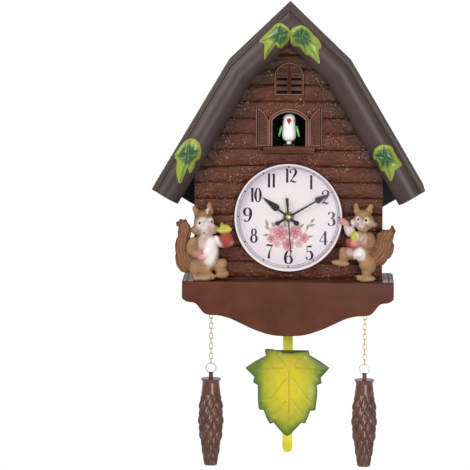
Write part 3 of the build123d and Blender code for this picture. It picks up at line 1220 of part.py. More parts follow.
def ivy_leaf(outline, left, top, width, height, side):
    """Lobed leaf with a round crown; side mirrors it to the right half of the roof."""

    def place(share):
        return side * (left + width * share[0]), top - height * share[1]

    with BuildPart() as leaf:
        with BuildSketch(front(ROLL_FRONT + LEAF_SEAT)):
            with BuildLine():
                Polyline(*[place(share) for share in outline])
                ThreePointArc(place(outline[-1]), place(LEAF_CROWN), place(outline[0]))
            make_face()
        extrude(amount=ROOF_LEAF_THICKNESS)
    return leaf.part


peak_pair = [
    ivy_leaf(PEAK_LEAF, PEAK_LEAF_LEFT, ROOF_PEAK_Z - PEAK_LEAF_DROP, PEAK_LEAF_WIDTH, PEAK_LEAF_HEIGHT, side)
    for side in (1, -1)
]
with BuildPart() as peak_leaves:
    for leaf in peak_pair:
        add(leaf)
export(peak_leaves, "peak_leaves")
for side, name in ((1, "left_roof_leaf"), (-1, "right_roof_leaf")):
    slope_leaf = ivy_leaf(
        SLOPE_LEAF, -slope_leaf_middle.X - SLOPE_LEAF_WIDTH / 2, slope_leaf_middle.Y + SLOPE_LEAF_HEIGHT / 2,
        SLOPE_LEAF_WIDTH, SLOPE_LEAF_HEIGHT, side,
    )
    with BuildPart() as roof_leaf:
        add(slope_leaf)
    export(roof_leaf, name)

# Squirrels: cast figures with flat backs, built up from rounded limbs; each limb is given by its two
# ends (across from the figure's axis, up from the shelf), its girth and how far it stands off the wall
LEFT_SQUIRREL = (
    ((1, 12), (0, 58), 16, 9),
    ((-15, 68), (15, 70), 14.5, 10),
    ((-4, 61), (7, 60), 6.5, 20),
    ((-11, 78), (-14, 89), 3.2, 7),
    ((5, 80), (5, 93.5), 3.4, 7),
    ((-18, 9), (-27, 53), 10, 8),
    ((-30, 34), (-26, 74), 8, 8),
    ((-24, 68), (-34, 69), 4, 8),
    ((-14, 52), (-9, 28), 7, 15),
    ((-11, 32), (2, 30), 4.5, 22),
    ((10, 50), (20, 44), 5, 12),
    ((25, 59), (25, 41), 8, 12),
    ((16, 63), (32, 63), 4.5, 12),
    ((21, 64), (20, 72), 2.5, 12),
    ((-9, 24), (-4, 4), 10, 14),
    ((10, 15), (28, 21), 8, 13),
    ((-13, 3.2), (12, 3.6), 4.2, 17),
    ((10, 6.5), (29, 7), 5, 15),
)
RIGHT_SQUIRREL = (
    ((-2, 61), (1, 18), 13, 9),
    ((-15, 72.5), (13, 73.5), 12.5, 10),
    ((-8, 66), (2, 65), 6, 19),
    ((-8, 82), (-11, 93.5), 3.2, 7),
    ((5, 82), (6.5, 93.5), 3.2, 7),
    ((-10, 53), (-24, 64), 5, 15),
    ((-20, 55), (-30, 75), 4.6, 16),
    ((-21, 46), (-4, 46), 6.5, 18),
    ((-17, 55), (-6, 55), 5, 17),
    ((8, 53), (-3, 42), 6, 15),
    ((-6, 32), (-28, 35), 8.5, 12),
    ((-25, 40), (-25, 20), 6.5, 13),
    ((-40, 21.5), (-19, 21), 4.6, 15),
    ((2, 30), (6, 3), 9, 13),
    ((-7, 4), (13, 4), 5, 16),
    ((10, 14), (28, 52), 12, 8),
    ((23, 32), (32, 64), 8.5, 8),
    ((27, 58), (38, 66), 4, 8),
)


def limb(centre_x, start, end, girth, standoff):
    """Limb of one girth with round ends."""
    reach = Vector(end[0] - start[0], 0, end[1] - start[1])
    middle = Vector(
        centre_x + (start[0] + end[0]) / 2, -WALL_DEPTH - standoff, SHELF_TOP_Z + (start[1] + end[1]) / 2
    )
    straight = max(reach.length / 2 - girth, girth / 4)
    shoulder = girth * math.sqrt(0.5)
    with BuildPart() as bar:
        with BuildSketch(Plane(origin=middle, x_dir=reach, z_dir=(0, -1, 0))):
            with BuildLine():
                ThreePointArc((-straight - girth, 0), (-straight - shoulder, shoulder), (-straight, girth))
                Line((-straight, girth), (straight, girth))
                ThreePointArc((straight, girth), (straight + shoulder, shoulder), (straight + girth, 0))
                Line((straight + girth, 0), (-straight - girth, 0))
            make_face()
        revolve(axis=Axis(middle, reach))
    return bar.part


for centre_x, limbs, name in (
    (LEFT_SQUIRREL_X, LEFT_SQUIRREL, "left_squirrel"),
    (RIGHT_SQUIRREL_X, RIGHT_SQUIRREL, "right_squirrel"),
):
    pieces = [limb(centre_x, *values) for values in limbs]
    with BuildPart() as squirrel:
        for piece in pieces:
            add(piece)
        with BuildSketch(front(WALL_DEPTH + SEAT_GAP, x=centre_x, z=SHELF_TOP_Z)):
            Rectangle(FIGURE_ROOM, FIGURE_ROOM)
        extrude(amount=-FIGURE_ROOM, mode=Mode.SUBTRACT)
        with BuildSketch(Plane.XY.offset(SHELF_TOP_Z + SEAT_GAP)):
            with Locations((centre_x, -WALL_DEPTH)):
                Rectangle(FIGURE_ROOM, FIGURE_ROOM)
        extrude(amount=-FIGURE_ROOM, mode=Mode.SUBTRACT)
    export(squirrel, name)
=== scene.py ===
import json
import math

import bpy
import numpy as np
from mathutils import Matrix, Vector

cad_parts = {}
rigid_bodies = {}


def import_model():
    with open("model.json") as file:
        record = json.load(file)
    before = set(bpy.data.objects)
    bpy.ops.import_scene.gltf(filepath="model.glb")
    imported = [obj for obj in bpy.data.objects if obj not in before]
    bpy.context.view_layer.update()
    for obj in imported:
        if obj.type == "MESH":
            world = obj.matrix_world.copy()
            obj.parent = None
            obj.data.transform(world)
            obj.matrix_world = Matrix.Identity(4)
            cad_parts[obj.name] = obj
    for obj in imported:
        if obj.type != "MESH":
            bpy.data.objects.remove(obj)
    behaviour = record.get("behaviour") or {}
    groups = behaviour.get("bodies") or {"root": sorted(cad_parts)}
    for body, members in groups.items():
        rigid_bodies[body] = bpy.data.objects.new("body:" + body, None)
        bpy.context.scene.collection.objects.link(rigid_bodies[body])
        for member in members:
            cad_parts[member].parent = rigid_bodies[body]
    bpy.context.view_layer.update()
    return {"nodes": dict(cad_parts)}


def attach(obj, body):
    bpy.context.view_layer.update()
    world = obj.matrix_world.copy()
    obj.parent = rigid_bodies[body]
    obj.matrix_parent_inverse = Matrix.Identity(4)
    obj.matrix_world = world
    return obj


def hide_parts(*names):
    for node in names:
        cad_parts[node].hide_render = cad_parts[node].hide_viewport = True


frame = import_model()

# Back board, side frame and screws: the black moulded board that lies on the wall closes the cabin and the
# eaves. Six pan-head steel screws hold it to the side frame. They stay as machined, with a moulded grain and
# a steel finish.
nodes = frame["nodes"]


class Tone:
    """One value on its way through the nodes of a finish."""

    def __init__(self, tree, socket=None):
        self.tree = tree
        self.socket = socket

    def node(self, kind, settings=None, sockets=None, out=0):
        made = self.tree.nodes.new(kind)
        for key, value in (settings or {}).items():
            setattr(made, key, value)
        for key, value in (sockets or {}).items():
            if isinstance(value, Tone):
                self.tree.links.new(value.socket, made.inputs[key])
            else:
                made.inputs[key].default_value = value
        return Tone(self.tree, made.outputs[out])

    def sum(self, operation, first, second):
        return self.node("ShaderNodeMath", {"operation": operation}, {0: first, 1: second})

    def __add__(self, other):
        return self.sum("ADD", self, other)

    def __sub__(self, other):
        return self.sum("SUBTRACT", self, other)

    def __rsub__(self, other):
        return self.sum("SUBTRACT", other, self)

    def __mul__(self, other):
        return self.sum("MULTIPLY", self, other)

    __radd__ = __add__
    __rmul__ = __mul__

    def mix(self, first, second):
        """Colour between two others, by this value."""
        pair = {0: self, 6: first, 7: second}
        for key in (6, 7):
            if not isinstance(pair[key], Tone):
                pair[key] = (*pair[key], 1.0)
        return self.node("ShaderNodeMix", {"data_type": "RGBA", "clamp_factor": True}, pair, 2)

    def between(self, low, high):
        """0 below low, 1 above high, smooth between them."""
        return self.node(
            "ShaderNodeMapRange",
            {"interpolation_type": "SMOOTHSTEP"},
            {"Value": self, "From Min": low, "From Max": high},
        )


def finish(name, metallic=0.0, coat=0.0, gloss=0.18):
    """New finish: the material, its shader, and the object's own coordinates as a Tone."""
    made = bpy.data.materials.new(name)
    made.use_nodes = True
    shader = made.node_tree.nodes["Principled BSDF"]
    shader.inputs["Metallic"].default_value = metallic
    shader.inputs["Specular IOR Level"].default_value = gloss
    shader.inputs["Coat Weight"].default_value = coat
    return made, shader, Tone(made.node_tree).node("ShaderNodeTexCoord", out="Object")


def put(shader, socket, tone):
    tone.tree.links.new(tone.socket, shader.inputs[socket])


def bump(shader, height, strength, distance):
    put(shader, "Normal", height.node(
        "ShaderNodeBump", None, {"Strength": strength, "Distance": distance, "Height": height}, "Normal"
    ))


def noise(place, scale, detail=3.0):
    return place.node("ShaderNodeTexNoise", None, {"Vector": place, "Scale": scale, "Detail": detail}, "Fac")


def stretched(place, scale, detail):
    """Uneven grain with its own scale across, in depth and up."""
    return noise(place.node("ShaderNodeMapping", None, {"Vector": place, "Scale": scale}), 1.0, detail)


def moulded(name, dark, light, rough, grain=1400.0, depth=0.08, patch=60.0, coat=0.0):
    """Moulded plastic: a slightly uneven colour and gloss, and the fine grain of the mould."""
    made, shader, place = finish(name, coat=coat)
    cloud = noise(place, patch, 4.0)
    put(shader, "Base Color", cloud.between(0.3, 0.7).mix(dark, light))
    put(shader, "Roughness", rough - 0.06 + cloud * 0.14)
    bump(shader, noise(place, grain) + cloud * 0.8, depth, 0.0006)
    return made


def metal(name, dark, light, rough):
    """Bright metal with fine drawing lines."""
    made, shader, place = finish(name, metallic=1.0)
    lines = stretched(place, (90.0, 90.0, 900.0), 5.0)
    put(shader, "Base Color", lines.mix(dark, light))
    put(shader, "Roughness", rough - 0.08 + lines * 0.16)
    bump(shader, lines, 0.05, 0.0003)
    return made


def dress(made, *names):
    """Give machined pieces their finish."""
    for name in names:
        nodes[name].data.materials.clear()
        nodes[name].data.materials.append(made)


black_board = moulded("black_board", (0.008, 0.008, 0.008), (0.018, 0.017, 0.016), 0.55, depth=0.2)
bright_steel = metal("bright_steel", (0.42, 0.42, 0.43), (0.72, 0.72, 0.72), 0.3)
side_brown = moulded("side_brown", (0.075, 0.03, 0.02), (0.105, 0.042, 0.027), 0.42)
dress(black_board, "rear_cover")
dress(side_brown, "case_frame")
dress(bright_steel, "case_screws")

# Log front: one moulded panel of weathered logs with a knotty grain and sawn log ends that step up under the
# roof. It is brown plastic with a dull gloss and pale specks, and it is screwed to the side frame behind it.
# Its grooves and the logs just under the roof's band are darkened with painted shade.
MM = 0.001
ROOF_HALF_WIDTH, ROOF_PEAK, ROOF_KINK, ROOF_EAVE = 163.8, 116.3, (74.4, 45.0), -106.4
SHELF_TOP, WALL_HALF, WALL_BACK, WALL_CREST = -217.2, 113.4, 74.0, 78.0
DIAL_AT = (0.0, -141.3)
BEZEL_RADIUS = 66.0
VENT_ARCH = (36.0, 45.7, 5.9, 17.99)
WINDOW_WIDTH, WINDOW_HEAD, WINDOW_RISE = 49.0, -10.0, 14.15
SILL_HALF, SILL_TOP, SILL_FOOT = 31.0, -55.6, -64.6
WALL_INSET, BAND_WIDTH, SEAT_GAP = 3.15, 36.0, 0.15


def coordinate(place, axis):
    """How far a place lies along one axis."""
    return place.node("ShaderNodeSeparateXYZ", None, {"Vector": place}, axis)


def paint_layer(place, layer):
    """The colour that a piece's own vertices carry."""
    return place.node("ShaderNodeVertexColor", {"layer_name": layer}, None, "Color")


def select_only():
    if bpy.context.object and bpy.context.object.mode != "OBJECT":
        bpy.ops.object.mode_set(mode="OBJECT")
    bpy.ops.object.select_all(action="DESELECT")


def spots_of(mesh):
    """Places of a mesh's vertices, one row each."""
    flat = np.empty(len(mesh.vertices) * 3)
    mesh.vertices.foreach_get("co", flat)
    return flat.reshape(-1, 3)


def move_to(mesh, places):
    mesh.vertices.foreach_set("co", np.ascontiguousarray(places, float).ravel())
    mesh.update()


def chosen(mesh):
    """Which vertices of a mesh are selected."""
    flags = np.empty(len(mesh.vertices), bool)
    mesh.vertices.foreach_get("select", flags)
    return flags


def choose(piece, flags):
    """Select these vertices of a piece and enter edit mode."""
    bpy.context.view_layer.objects.active = piece
    bpy.ops.object.mode_set(mode="EDIT")
    bpy.ops.mesh.select_mode(type="VERT")
    bpy.ops.mesh.select_all(action="DESELECT")
    bpy.ops.object.mode_set(mode="OBJECT")
    piece.data.vertices.foreach_set("select", flags)
    bpy.ops.object.mode_set(mode="EDIT")


def inside(spots, outline):
    """Which points lie inside a closed outline."""
    hits = np.zeros(len(spots), bool)
    for (x0, z0), (x1, z1) in zip(outline, np.roll(outline, -1, 0)):
        if z0 != z1:
            crossed = (spots[:, 1] < z0) != (spots[:, 1] < z1)
            hits ^= crossed & (spots[:, 0] < x0 + (spots[:, 1] - z0) / (z1 - z0) * (x1 - x0))
    return hits


def nearest(spots, line, closed=True):
    """Distance from each point to a line, and the nearest point on it."""
    best = np.full(len(spots), 1e9)
    foot = np.array(spots, float)
    line = np.array(line, float)
    ends = np.roll(line, -1, 0) if closed else line[1:]
    for start, end in zip(line, ends):
        run = end - start
        share = np.clip(((spots - start) @ run) / max(run @ run, 1e-12), 0.0, 1.0)
        touch = start + share[:, None] * run
        gap = np.linalg.norm(spots - touch, axis=1)
        closer = gap < best
        best[closer] = gap[closer]
        foot[closer] = touch[closer]
    return best, foot


def edit_all():
    """Enter edit mode with all of the piece selected."""
    bpy.ops.object.mode_set(mode="EDIT")
    bpy.ops.mesh.select_all(action="SELECT")


def tidy(piece, angle):
    """Close the seams, turn the faces outwards and shade the piece."""
    edit_all()
    bpy.ops.mesh.remove_doubles(threshold=0.00001)
    bpy.ops.mesh.normals_make_consistent(inside=False)
    bpy.ops.object.mode_set(mode="OBJECT")
    bpy.ops.object.shade_smooth_by_angle(angle=math.radians(angle))
    return piece


def relief(name, outline, step, face, back, holes=()):
    """Moulded relief: a grid cut to an outline, pushed forward to its face, with a rim and a flat back."""
    outline = np.array(outline, float)
    holes = [np.array(hole, float) for hole in holes]
    low, high = outline.min(0), outline.max(0)
    count = np.maximum(np.round((high - low) / step), 2).astype(int)
    select_only()
    bpy.ops.mesh.primitive_grid_add(x_subdivisions=int(count[0]), y_subdivisions=int(count[1]), size=2)
    piece = bpy.context.object
    piece.name = name
    mesh = piece.data
    spots = low + (spots_of(mesh)[:, :2] + 1) / 2 * (high - low)
    gone = ~inside(spots, outline)
    for hole in holes:
        gone |= inside(spots, hole)
    move_to(mesh, np.column_stack([spots[:, 0], np.zeros(len(spots)), spots[:, 1]]))
    choose(piece, gone)
    bpy.ops.mesh.delete(type="VERT")
    bpy.ops.mesh.select_all(action="SELECT")
    bpy.ops.mesh.region_to_loop()
    bpy.ops.object.mode_set(mode="OBJECT")
    rim = chosen(mesh)
    spots = spots_of(mesh)[:, [0, 2]]
    gap, foot = nearest(spots[rim], outline)
    for hole in holes:
        hole_gap, hole_foot = nearest(spots[rim], hole)
        closer = hole_gap < gap
        gap[closer] = hole_gap[closer]
        foot[closer] = hole_foot[closer]
    spots[rim] = foot
    move_to(mesh, np.column_stack([spots[:, 0], -face(spots), spots[:, 1]]) * MM)
    bpy.ops.object.mode_set(mode="EDIT")
    bpy.ops.mesh.extrude_edges_indiv()
    bpy.ops.object.mode_set(mode="OBJECT")
    places = spots_of(mesh)
    places[chosen(mesh), 1] = -back * MM
    move_to(mesh, places)
    bpy.ops.object.mode_set(mode="EDIT")
    bpy.ops.mesh.fill(use_beauty=False)
    if holes:
        bpy.ops.mesh.select_mode(type="FACE")
        bpy.ops.object.mode_set(mode="OBJECT")
        middles = np.empty(len(mesh.polygons) * 3)
        mesh.polygons.foreach_get("center", middles)
        middles = middles.reshape(-1, 3) / MM
        filled = np.any([inside(middles[:, [0, 2]], hole) for hole in holes], axis=0)
        mesh.polygons.foreach_set("select", filled & (middles[:, 1] > -back - 0.01))
        bpy.ops.object.mode_set(mode="EDIT")
        bpy.ops.mesh.delete(type="ONLY_FACE")
    return tidy(piece, 50.0)


def waves(seed, spots, count, long_wave, short_wave):
    """Seeded uneven grain: long waves across, short waves up, between -1 and 1."""
    pick = np.random.default_rng(seed)
    total = np.zeros(len(spots))
    for _ in range(count):
        across = pick.uniform(0.4, 1.6) * 2 * math.pi / long_wave * pick.choice([-1, 1])
        up = pick.uniform(0.5, 1.6) * 2 * math.pi / short_wave
        total += np.sin(spots[:, 0] * across + spots[:, 1] * up + pick.uniform(0, 2 * math.pi))
    return total / count ** 0.5 / 1.6


def arch_line(width, top, bottom, rise, grow=0.0, steps=18):
    """Closed outline with a straight foot and a round head."""
    half, top, bottom = width / 2 + grow, top + grow, bottom - grow
    radius = (half * half + rise * rise) / (2 * rise)
    sweep = math.asin(min(half / radius, 1.0))
    turns = [sweep * (1 - 2 * n / steps) for n in range(steps + 1)]
    head = [(radius * math.sin(turn), top - radius + radius * math.cos(turn)) for turn in turns]
    return [(-half, bottom), (half, bottom)] + head


def round_line(centre, radius, steps=96):
    turns = [2 * math.pi * n / steps for n in range(steps)]
    return [(centre[0] + radius * math.cos(turn), centre[1] + radius * math.sin(turn)) for turn in turns]


def gable_line(inset):
    """Right half of the roof outline, moved inward: eave, kink and peak."""
    eave = Vector((ROOF_HALF_WIDTH, ROOF_EAVE))
    kink = Vector(ROOF_KINK)
    peak = Vector((0.0, ROOF_PEAK))
    lower = (kink - eave).normalized()
    upper = (peak - kink).normalized()
    lower_in = Vector((-lower.y, lower.x))
    upper_in = Vector((-upper.y, upper.x))
    eave += lower_in * inset
    start = kink + upper_in * inset
    reach = (start - eave).cross(upper) / lower.cross(upper)
    kink = eave + lower * reach
    peak = kink + upper * (-kink.x / upper.x)
    return eave, kink, peak


def painted(piece, name, colours):
    """Give every vertex of a piece its own colour."""
    layer = piece.data.color_attributes.new(name, "FLOAT_COLOR", "POINT")
    rows = np.column_stack([colours, np.ones(len(colours))])
    layer.data.foreach_set("color", rows.astype(np.float32).ravel())


eave, kink, peak = gable_line(WALL_INSET)
shoulder = kink + (eave - kink) * ((WALL_HALF - kink.x) / (eave.x - kink.x))
wall_right = [(WALL_HALF, SHELF_TOP + SEAT_GAP), tuple(shoulder), tuple(kink), tuple(peak)]
wall_line = wall_right + [(-x, z) for x, z in reversed(wall_right[:-1])]
LOG_GROOVES = (
    -237, -215, -196, -177, -158.5, -139, -119, -99.5, -80.5, -60.5,
    -41, -21.5, -2, 17.5, 37, 55, 73, 92, 112,
)
LOG_ENDS = [(side * x, z) for side in (-1, 1) for x, z in ((51.6, 6.5), (72.0, -31.0), (92.5, -66.5))]


def log_face(spots):
    """Depth of the weathered log wall."""
    wander = spots[:, 1] + 1.3 * waves(3, spots, 6, 160.0, 90.0)
    row = np.clip(np.searchsorted(LOG_GROOVES, wander) - 1, 0, len(LOG_GROOVES) - 2)
    foot = np.take(LOG_GROOVES, row)
    pitch = np.take(LOG_GROOVES, row + 1) - foot
    across = np.abs((wander - foot) / pitch * 2 - 1)
    depth = WALL_CREST - 0.5 - 2.6 * across ** 2.4 - 0.9 * (across > 0.93)
    shifted = spots + np.column_stack([37.0 * row, 11.0 * row])
    depth += 0.5 * waves(5, shifted, 16, 46.0, 5.5) * (1 - across ** 4)
    depth += 0.45 * np.minimum(waves(8, shifted, 14, 18.0, 3.6), 0.3)
    for centre in LOG_ENDS:
        reach = np.linalg.norm(spots - np.array(centre), axis=1)
        reach += 1.1 * waves(21, spots, 8, 11.0, 11.0)
        fall = np.clip(reach - 6.0, 0, None) ** 2 * 0.7
        ring = WALL_CREST + 1.6 - 0.7 * np.abs(np.sin(reach * 1.2)) - fall
        depth = np.where(reach < 8.2, np.maximum(ring, depth - 0.8), depth)
    return np.clip(depth, WALL_BACK + 0.4, WALL_CREST + 2.4)


window_arch = arch_line(WINDOW_WIDTH, WINDOW_HEAD, SILL_TOP, WINDOW_RISE)
window_line = (
    [(-SILL_HALF, SILL_FOOT), (SILL_HALF, SILL_FOOT), (SILL_HALF, SILL_TOP)]
    + [(x, z) for x, z in window_arch[1:] if z > SILL_TOP]
    + [(-WINDOW_WIDTH / 2, SILL_TOP), (-SILL_HALF, SILL_TOP)]
)
logs = relief(
    "log_wall", wall_line, 1.25, log_face, WALL_BACK,
    holes=[window_line, arch_line(*VENT_ARCH, 0.1), round_line(DIAL_AT, BEZEL_RADIUS + 0.2)],
)
log_brown, shader, place = finish("log_brown", coat=0.1)
grain = stretched(place, (60.0, 60.0, 420.0), 6.0)
stain = noise(place, 45.0, 4.0)
specks = noise(place, 480.0, 2.0).between(0.58, 0.66) * noise(place, 50.0, 2.0).between(0.40, 0.60)
bark = stretched(place, (170.0, 170.0, 420.0), 3.0)
uneven = (stain * 0.35 + grain * 0.3 + bark * 0.35).between(0.36, 0.64)
brown = uneven.mix((0.054, 0.0135, 0.0058), (0.112, 0.029, 0.0135))
forward = 0.0 - coordinate(place, "Y")
# Painted shade: the recessed grooves between the logs are painted near-black.
brown = forward.between(0.0741, 0.0760).mix((0.014, 0.006, 0.004), brown)
# Painted shade: the logs darken towards the roof's band, where the roof shades them.
brown = paint_layer(place, "roof_shade").mix(brown, (0.026, 0.017, 0.011))
put(shader, "Base Color", (specks * 0.62).mix(brown, (0.46, 0.30, 0.19)))
put(shader, "Roughness", 0.30 + grain * 0.22)
bump(shader, grain * 0.6 + bark + specks * 0.8, 0.7, 0.0009)
logs.data.materials.append(log_brown)
spots = spots_of(logs.data)[:, [0, 2]] / MM
band_edge = [tuple(corner) for corner in gable_line(BAND_WIDTH)]
near_roof = nearest(np.column_stack([np.abs(spots[:, 0]), spots[:, 1]]), band_edge, closed=False)[0]
# Painted shade under the roof: darkest at the band's inner edge and fading out about 20 mm below it.
shade = np.clip(1.0 - near_roof / 20.0 + 0.35 * waves(31, spots, 12, 14.0, 10.0), 0, 1) * 0.8
painted(logs, "roof_shade", np.repeat(shade[:, None], 3, 1))
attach(logs, "case")
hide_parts("log_front")

# Roof shell: one grey-brown moulding in the shape of a gambrel roof. A narrow rim and a step run along its
# front, and a broad band rolls back from them to a thin lip under the eaves. It is glued over the cabin.
ROOF_DEPTH = 104.0
BAND = np.array([(6.0, 102.0), (20.9, 106.0), (BAND_WIDTH, 90.0)])


def through(points, steps):
    """Points on the arc through three points."""
    (ax, ay), (bx, by), (cx, cy) = points
    twice = 2 * (ax * (by - cy) + bx * (cy - ay) + cx * (ay - by))
    squares = (ax * ax + ay * ay, bx * bx + by * by, cx * cx + cy * cy)
    mid = Vector((
        (squares[0] * (by - cy) + squares[1] * (cy - ay) + squares[2] * (ay - by)) / twice,
        (squares[0] * (cx - bx) + squares[1] * (ax - cx) + squares[2] * (bx - ax)) / twice,
    ))
    start, end = math.atan2(ay - mid.y, ax - mid.x), math.atan2(cy - mid.y, cx - mid.x)
    radius = math.hypot(ax - mid.x, ay - mid.y)
    turns = np.linspace(start, end, steps)
    return [(mid.x + radius * math.cos(turn), mid.y + radius * math.sin(turn)) for turn in turns]


def drawn_loop(name, places):
    """Closed loop of edges through these points, ready to be extruded or spun in edit mode."""
    select_only()
    bpy.ops.mesh.primitive_circle_add(vertices=len(places), radius=1, fill_type="NOTHING")
    piece = bpy.context.object
    piece.name = name
    move_to(piece.data, np.array(places, float) * MM)
    edit_all()
    return piece


roof_profile = (
    [(0.0, 0.0), (0.0, 60.0), (0.0, 102.6), (0.5, 103.6), (1.5, ROOF_DEPTH), (4.6, ROOF_DEPTH)]
    + [(5.6, 103.5), (6.0, 102.4)]
    + through(BAND, 22)[1:] + [(35.2, 88.6), (33.4, 87.4)]
    + through([(33.0, 88.0), (20.2, 103.0), (8.0, 99.4)], 10)[1:] + [(3.0, 99.0), (3.0, 0.0)]
)


def roof_station(side, stop):
    """Section of the roof at its eave, kink or peak."""
    corners = [(gable_line(inset)[stop], depth) for inset, depth in roof_profile]
    return [(side * corner.x, -depth, corner.y) for corner, depth in corners]


stations = [roof_station(side, stop) for side, stop in ((-1, 0), (-1, 1), (1, 2), (1, 1), (1, 0))]
roof = drawn_loop("roof_moulding", stations[0])
bpy.ops.mesh.edge_face_add()
for station in stations[1:]:
    bpy.ops.mesh.select_mode(type="VERT")
    bpy.ops.mesh.extrude_region()
    bpy.ops.object.mode_set(mode="OBJECT")
    places = spots_of(roof.data)
    places[chosen(roof.data)] = np.array(station) * MM
    move_to(roof.data, places)
    bpy.ops.object.mode_set(mode="EDIT")
tidy(roof, 32.0)
roof_brown, shader, place = finish("roof_brown", gloss=0.3)
streak = stretched(place, (26.0, 26.0, 9.0), 5.0)
cloud = noise(place, 55.0, 4.0)
uneven = (streak * 0.6 + cloud * 0.4).between(0.3, 0.7)
put(shader, "Base Color", uneven.mix((0.035, 0.021, 0.018), (0.053, 0.032, 0.0275)))
behind = coordinate(place, "Y").between(-0.103, -0.097)
put(shader, "Roughness", 0.31 + cloud * 0.12 + behind * 0.38)
bump(shader, noise(place, 900.0) + streak, 0.1, 0.0006)
roof.data.materials.append(roof_brown)
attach(roof, "case")
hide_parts("roof_shell")

# Shelf and apron: a grey-washed plank shelf under the cabin and the wavy red-brown board on its front edge.
# Both are moulded; the board has a broken edge all round and is glued to the shelf's front.
SHELF_HALF, SHELF_FRONT, APRON_FRONT = 127.4, 98.0, 102.0


def flowing(points, steps, closed=False):
    """Smooth line through these points."""
    points = np.array(points, float)
    count = len(points)
    line = []
    for n in range(count if closed else count - 1):
        if closed:
            a, b, c, d = (points[(n + k) % count] for k in (-1, 0, 1, 2))
        else:
            a, b, c, d = points[max(n - 1, 0)], points[n], points[n + 1], points[min(n + 2, count - 1)]
        bend = 2 * a - 5 * b + 4 * c - d
        twist = 3 * b - a - 3 * c + d
        for share in np.arange(steps) / steps:
            line.append(0.5 * (2 * b + (c - a) * share + bend * share ** 2 + twist * share ** 3))
    if not closed:
        line.append(points[-1])
    return [tuple(place) for place in line]


def plate(name, outline, back, front, edge=0.0):
    """Flat board cut to an outline between two depths, with its front edge broken."""
    piece = drawn_loop(name, [(x, -back, z) for x, z in outline])
    bpy.ops.mesh.edge_face_add()
    bpy.ops.mesh.extrude_region_move(TRANSFORM_OT_translate={"value": (0, -(front - back) * MM, 0)})
    if edge:
        bpy.ops.mesh.bevel(offset=edge * MM, segments=3, profile=0.5, affect="EDGES")
    return tidy(piece, 35.0)


apron_wave = flowing([
    (126.2, -239.2), (120.8, -242.2), (113.6, -243.2), (109.4, -245.6), (105.6, -250.4), (101.0, -255.6),
    (94.8, -257.9), (83.5, -258.6), (70.8, -261.6), (56.0, -268.2), (40.8, -275.2), (20.8, -281.6),
    (0.0, -283.5),
], 6)
apron_half = [(126.6, -217.4), (SHELF_HALF, -218.4), (SHELF_HALF, -236.6)] + apron_wave
apron_line = apron_half + [(-x, z) for x, z in reversed(apron_half[:-1])]
apron = plate("apron_face", apron_line, SHELF_FRONT, APRON_FRONT, 1.6)
apron_brown, shader, place = finish("apron_brown")
stain = noise(place, 30.0, 5.0).between(0.32, 0.68)
# Painted shade: the board's broken edge and sides are painted dark, as they fall into shade.
bevel_shade = coordinate(place, "Y").between(-0.1019, -0.1008)
brown = stain.mix((0.066, 0.0175, 0.0072), (0.092, 0.027, 0.0125))
put(shader, "Base Color", (bevel_shade * 0.65).mix(brown, (0.024, 0.008, 0.005)))
put(shader, "Roughness", 0.44 + stain * 0.12)
bump(shader, noise(place, 700.0), 0.06, 0.0006)
apron.data.materials.append(apron_brown)
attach(apron, "case")
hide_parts("apron_board")
shelf_grey, shader, place = finish("shelf_grey")
planks = stretched(place, (500.0, 40.0, 40.0), 5.0)
across = coordinate(place, "X")
reach = across.sum("ABSOLUTE", across, 0.0)
top = coordinate(place, "Z").between(-0.2192, -0.2178) * reach.between(0.1130, 0.1136)
gap = across.sum("PINGPONG", reach - 0.00115, 0.00415).between(0.0030, 0.0034)
washed = planks.mix((0.24, 0.175, 0.17), (0.5, 0.405, 0.395))
put(shader, "Base Color", top.mix((0.085, 0.025, 0.012), gap.mix(washed, (0.02, 0.014, 0.012))))
put(shader, "Roughness", 0.4 + planks * 0.2)
bump(shader, planks, 0.25, 0.0005)
dress(shelf_grey, "shelf_base")

# Front trim: an arched attic vent with a middle bar, a window frame with its sill, and two half-open louvred
# shutters. They are brown mouldings, set into the log wall and glued from behind, with a patchy pale painted
# highlight on their foremost edges and painted shade in their recesses. A black sheet behind the vent's slots
# stands in for the shade inside the case.
TRIM_FRONT, TRIM_BACK, SHUTTER_BACK = 80.5, 74.0, 77.0
VENT_FLOOR, SHUTTER_FLOOR = 78.6, 78.7
SLAT_FOOT, SLAT_PITCH = 8.5, 7.75
SHUTTER_IN, SHUTTER_OUT, SHUTTER_FOOT = 24.65, 40.25, -55.5
VENT_SLOTS = [
    [(side * 2.7, low), (side * 14.6, low), (side * 14.6, low + 3.0), (side * 2.7, low + 3.0)]
    for side in (-1, 1) for low in (8.5, 16.2, 24.0)
]
vent_line = arch_line(*VENT_ARCH)


def ridge(gap, middle, half, high):
    """Rounded bead of this height where the distance passes a value."""
    return high * np.clip(1 - ((gap - middle) / half) ** 2, 0, 1) ** 0.6


def vent_face(spots):
    """Depth of the vent: a rolled rim and middle bar, sloping slats, and blind squares in the arch."""
    rim = nearest(spots, vent_line)[0]
    across = np.abs(spots[:, 0])
    depth = VENT_FLOOR + ridge(rim, 0.9, 1.1, TRIM_FRONT - VENT_FLOOR)
    depth = np.maximum(depth, VENT_FLOOR + ridge(across, 0.0, 0.5, 1.0) + ridge(across, 1.3, 0.7, 1.6))
    row = (spots[:, 1] - SLAT_FOOT) % SLAT_PITCH
    slat = (across > 2.2) & (rim > 2.0) & (spots[:, 1] < 28.6)
    depth = np.where(slat, 78.3 + 0.22 * np.clip(SLAT_PITCH - row, 0, 4.2), depth)
    square = (across > 3.0) & (rim > 3.0) & (spots[:, 1] > 29.4) & (row > 1.2) & (row < 6.0)
    return np.where(square, 77.9 + 0.5 * ((across * 0.9) % 2.6 > 1.3), depth)


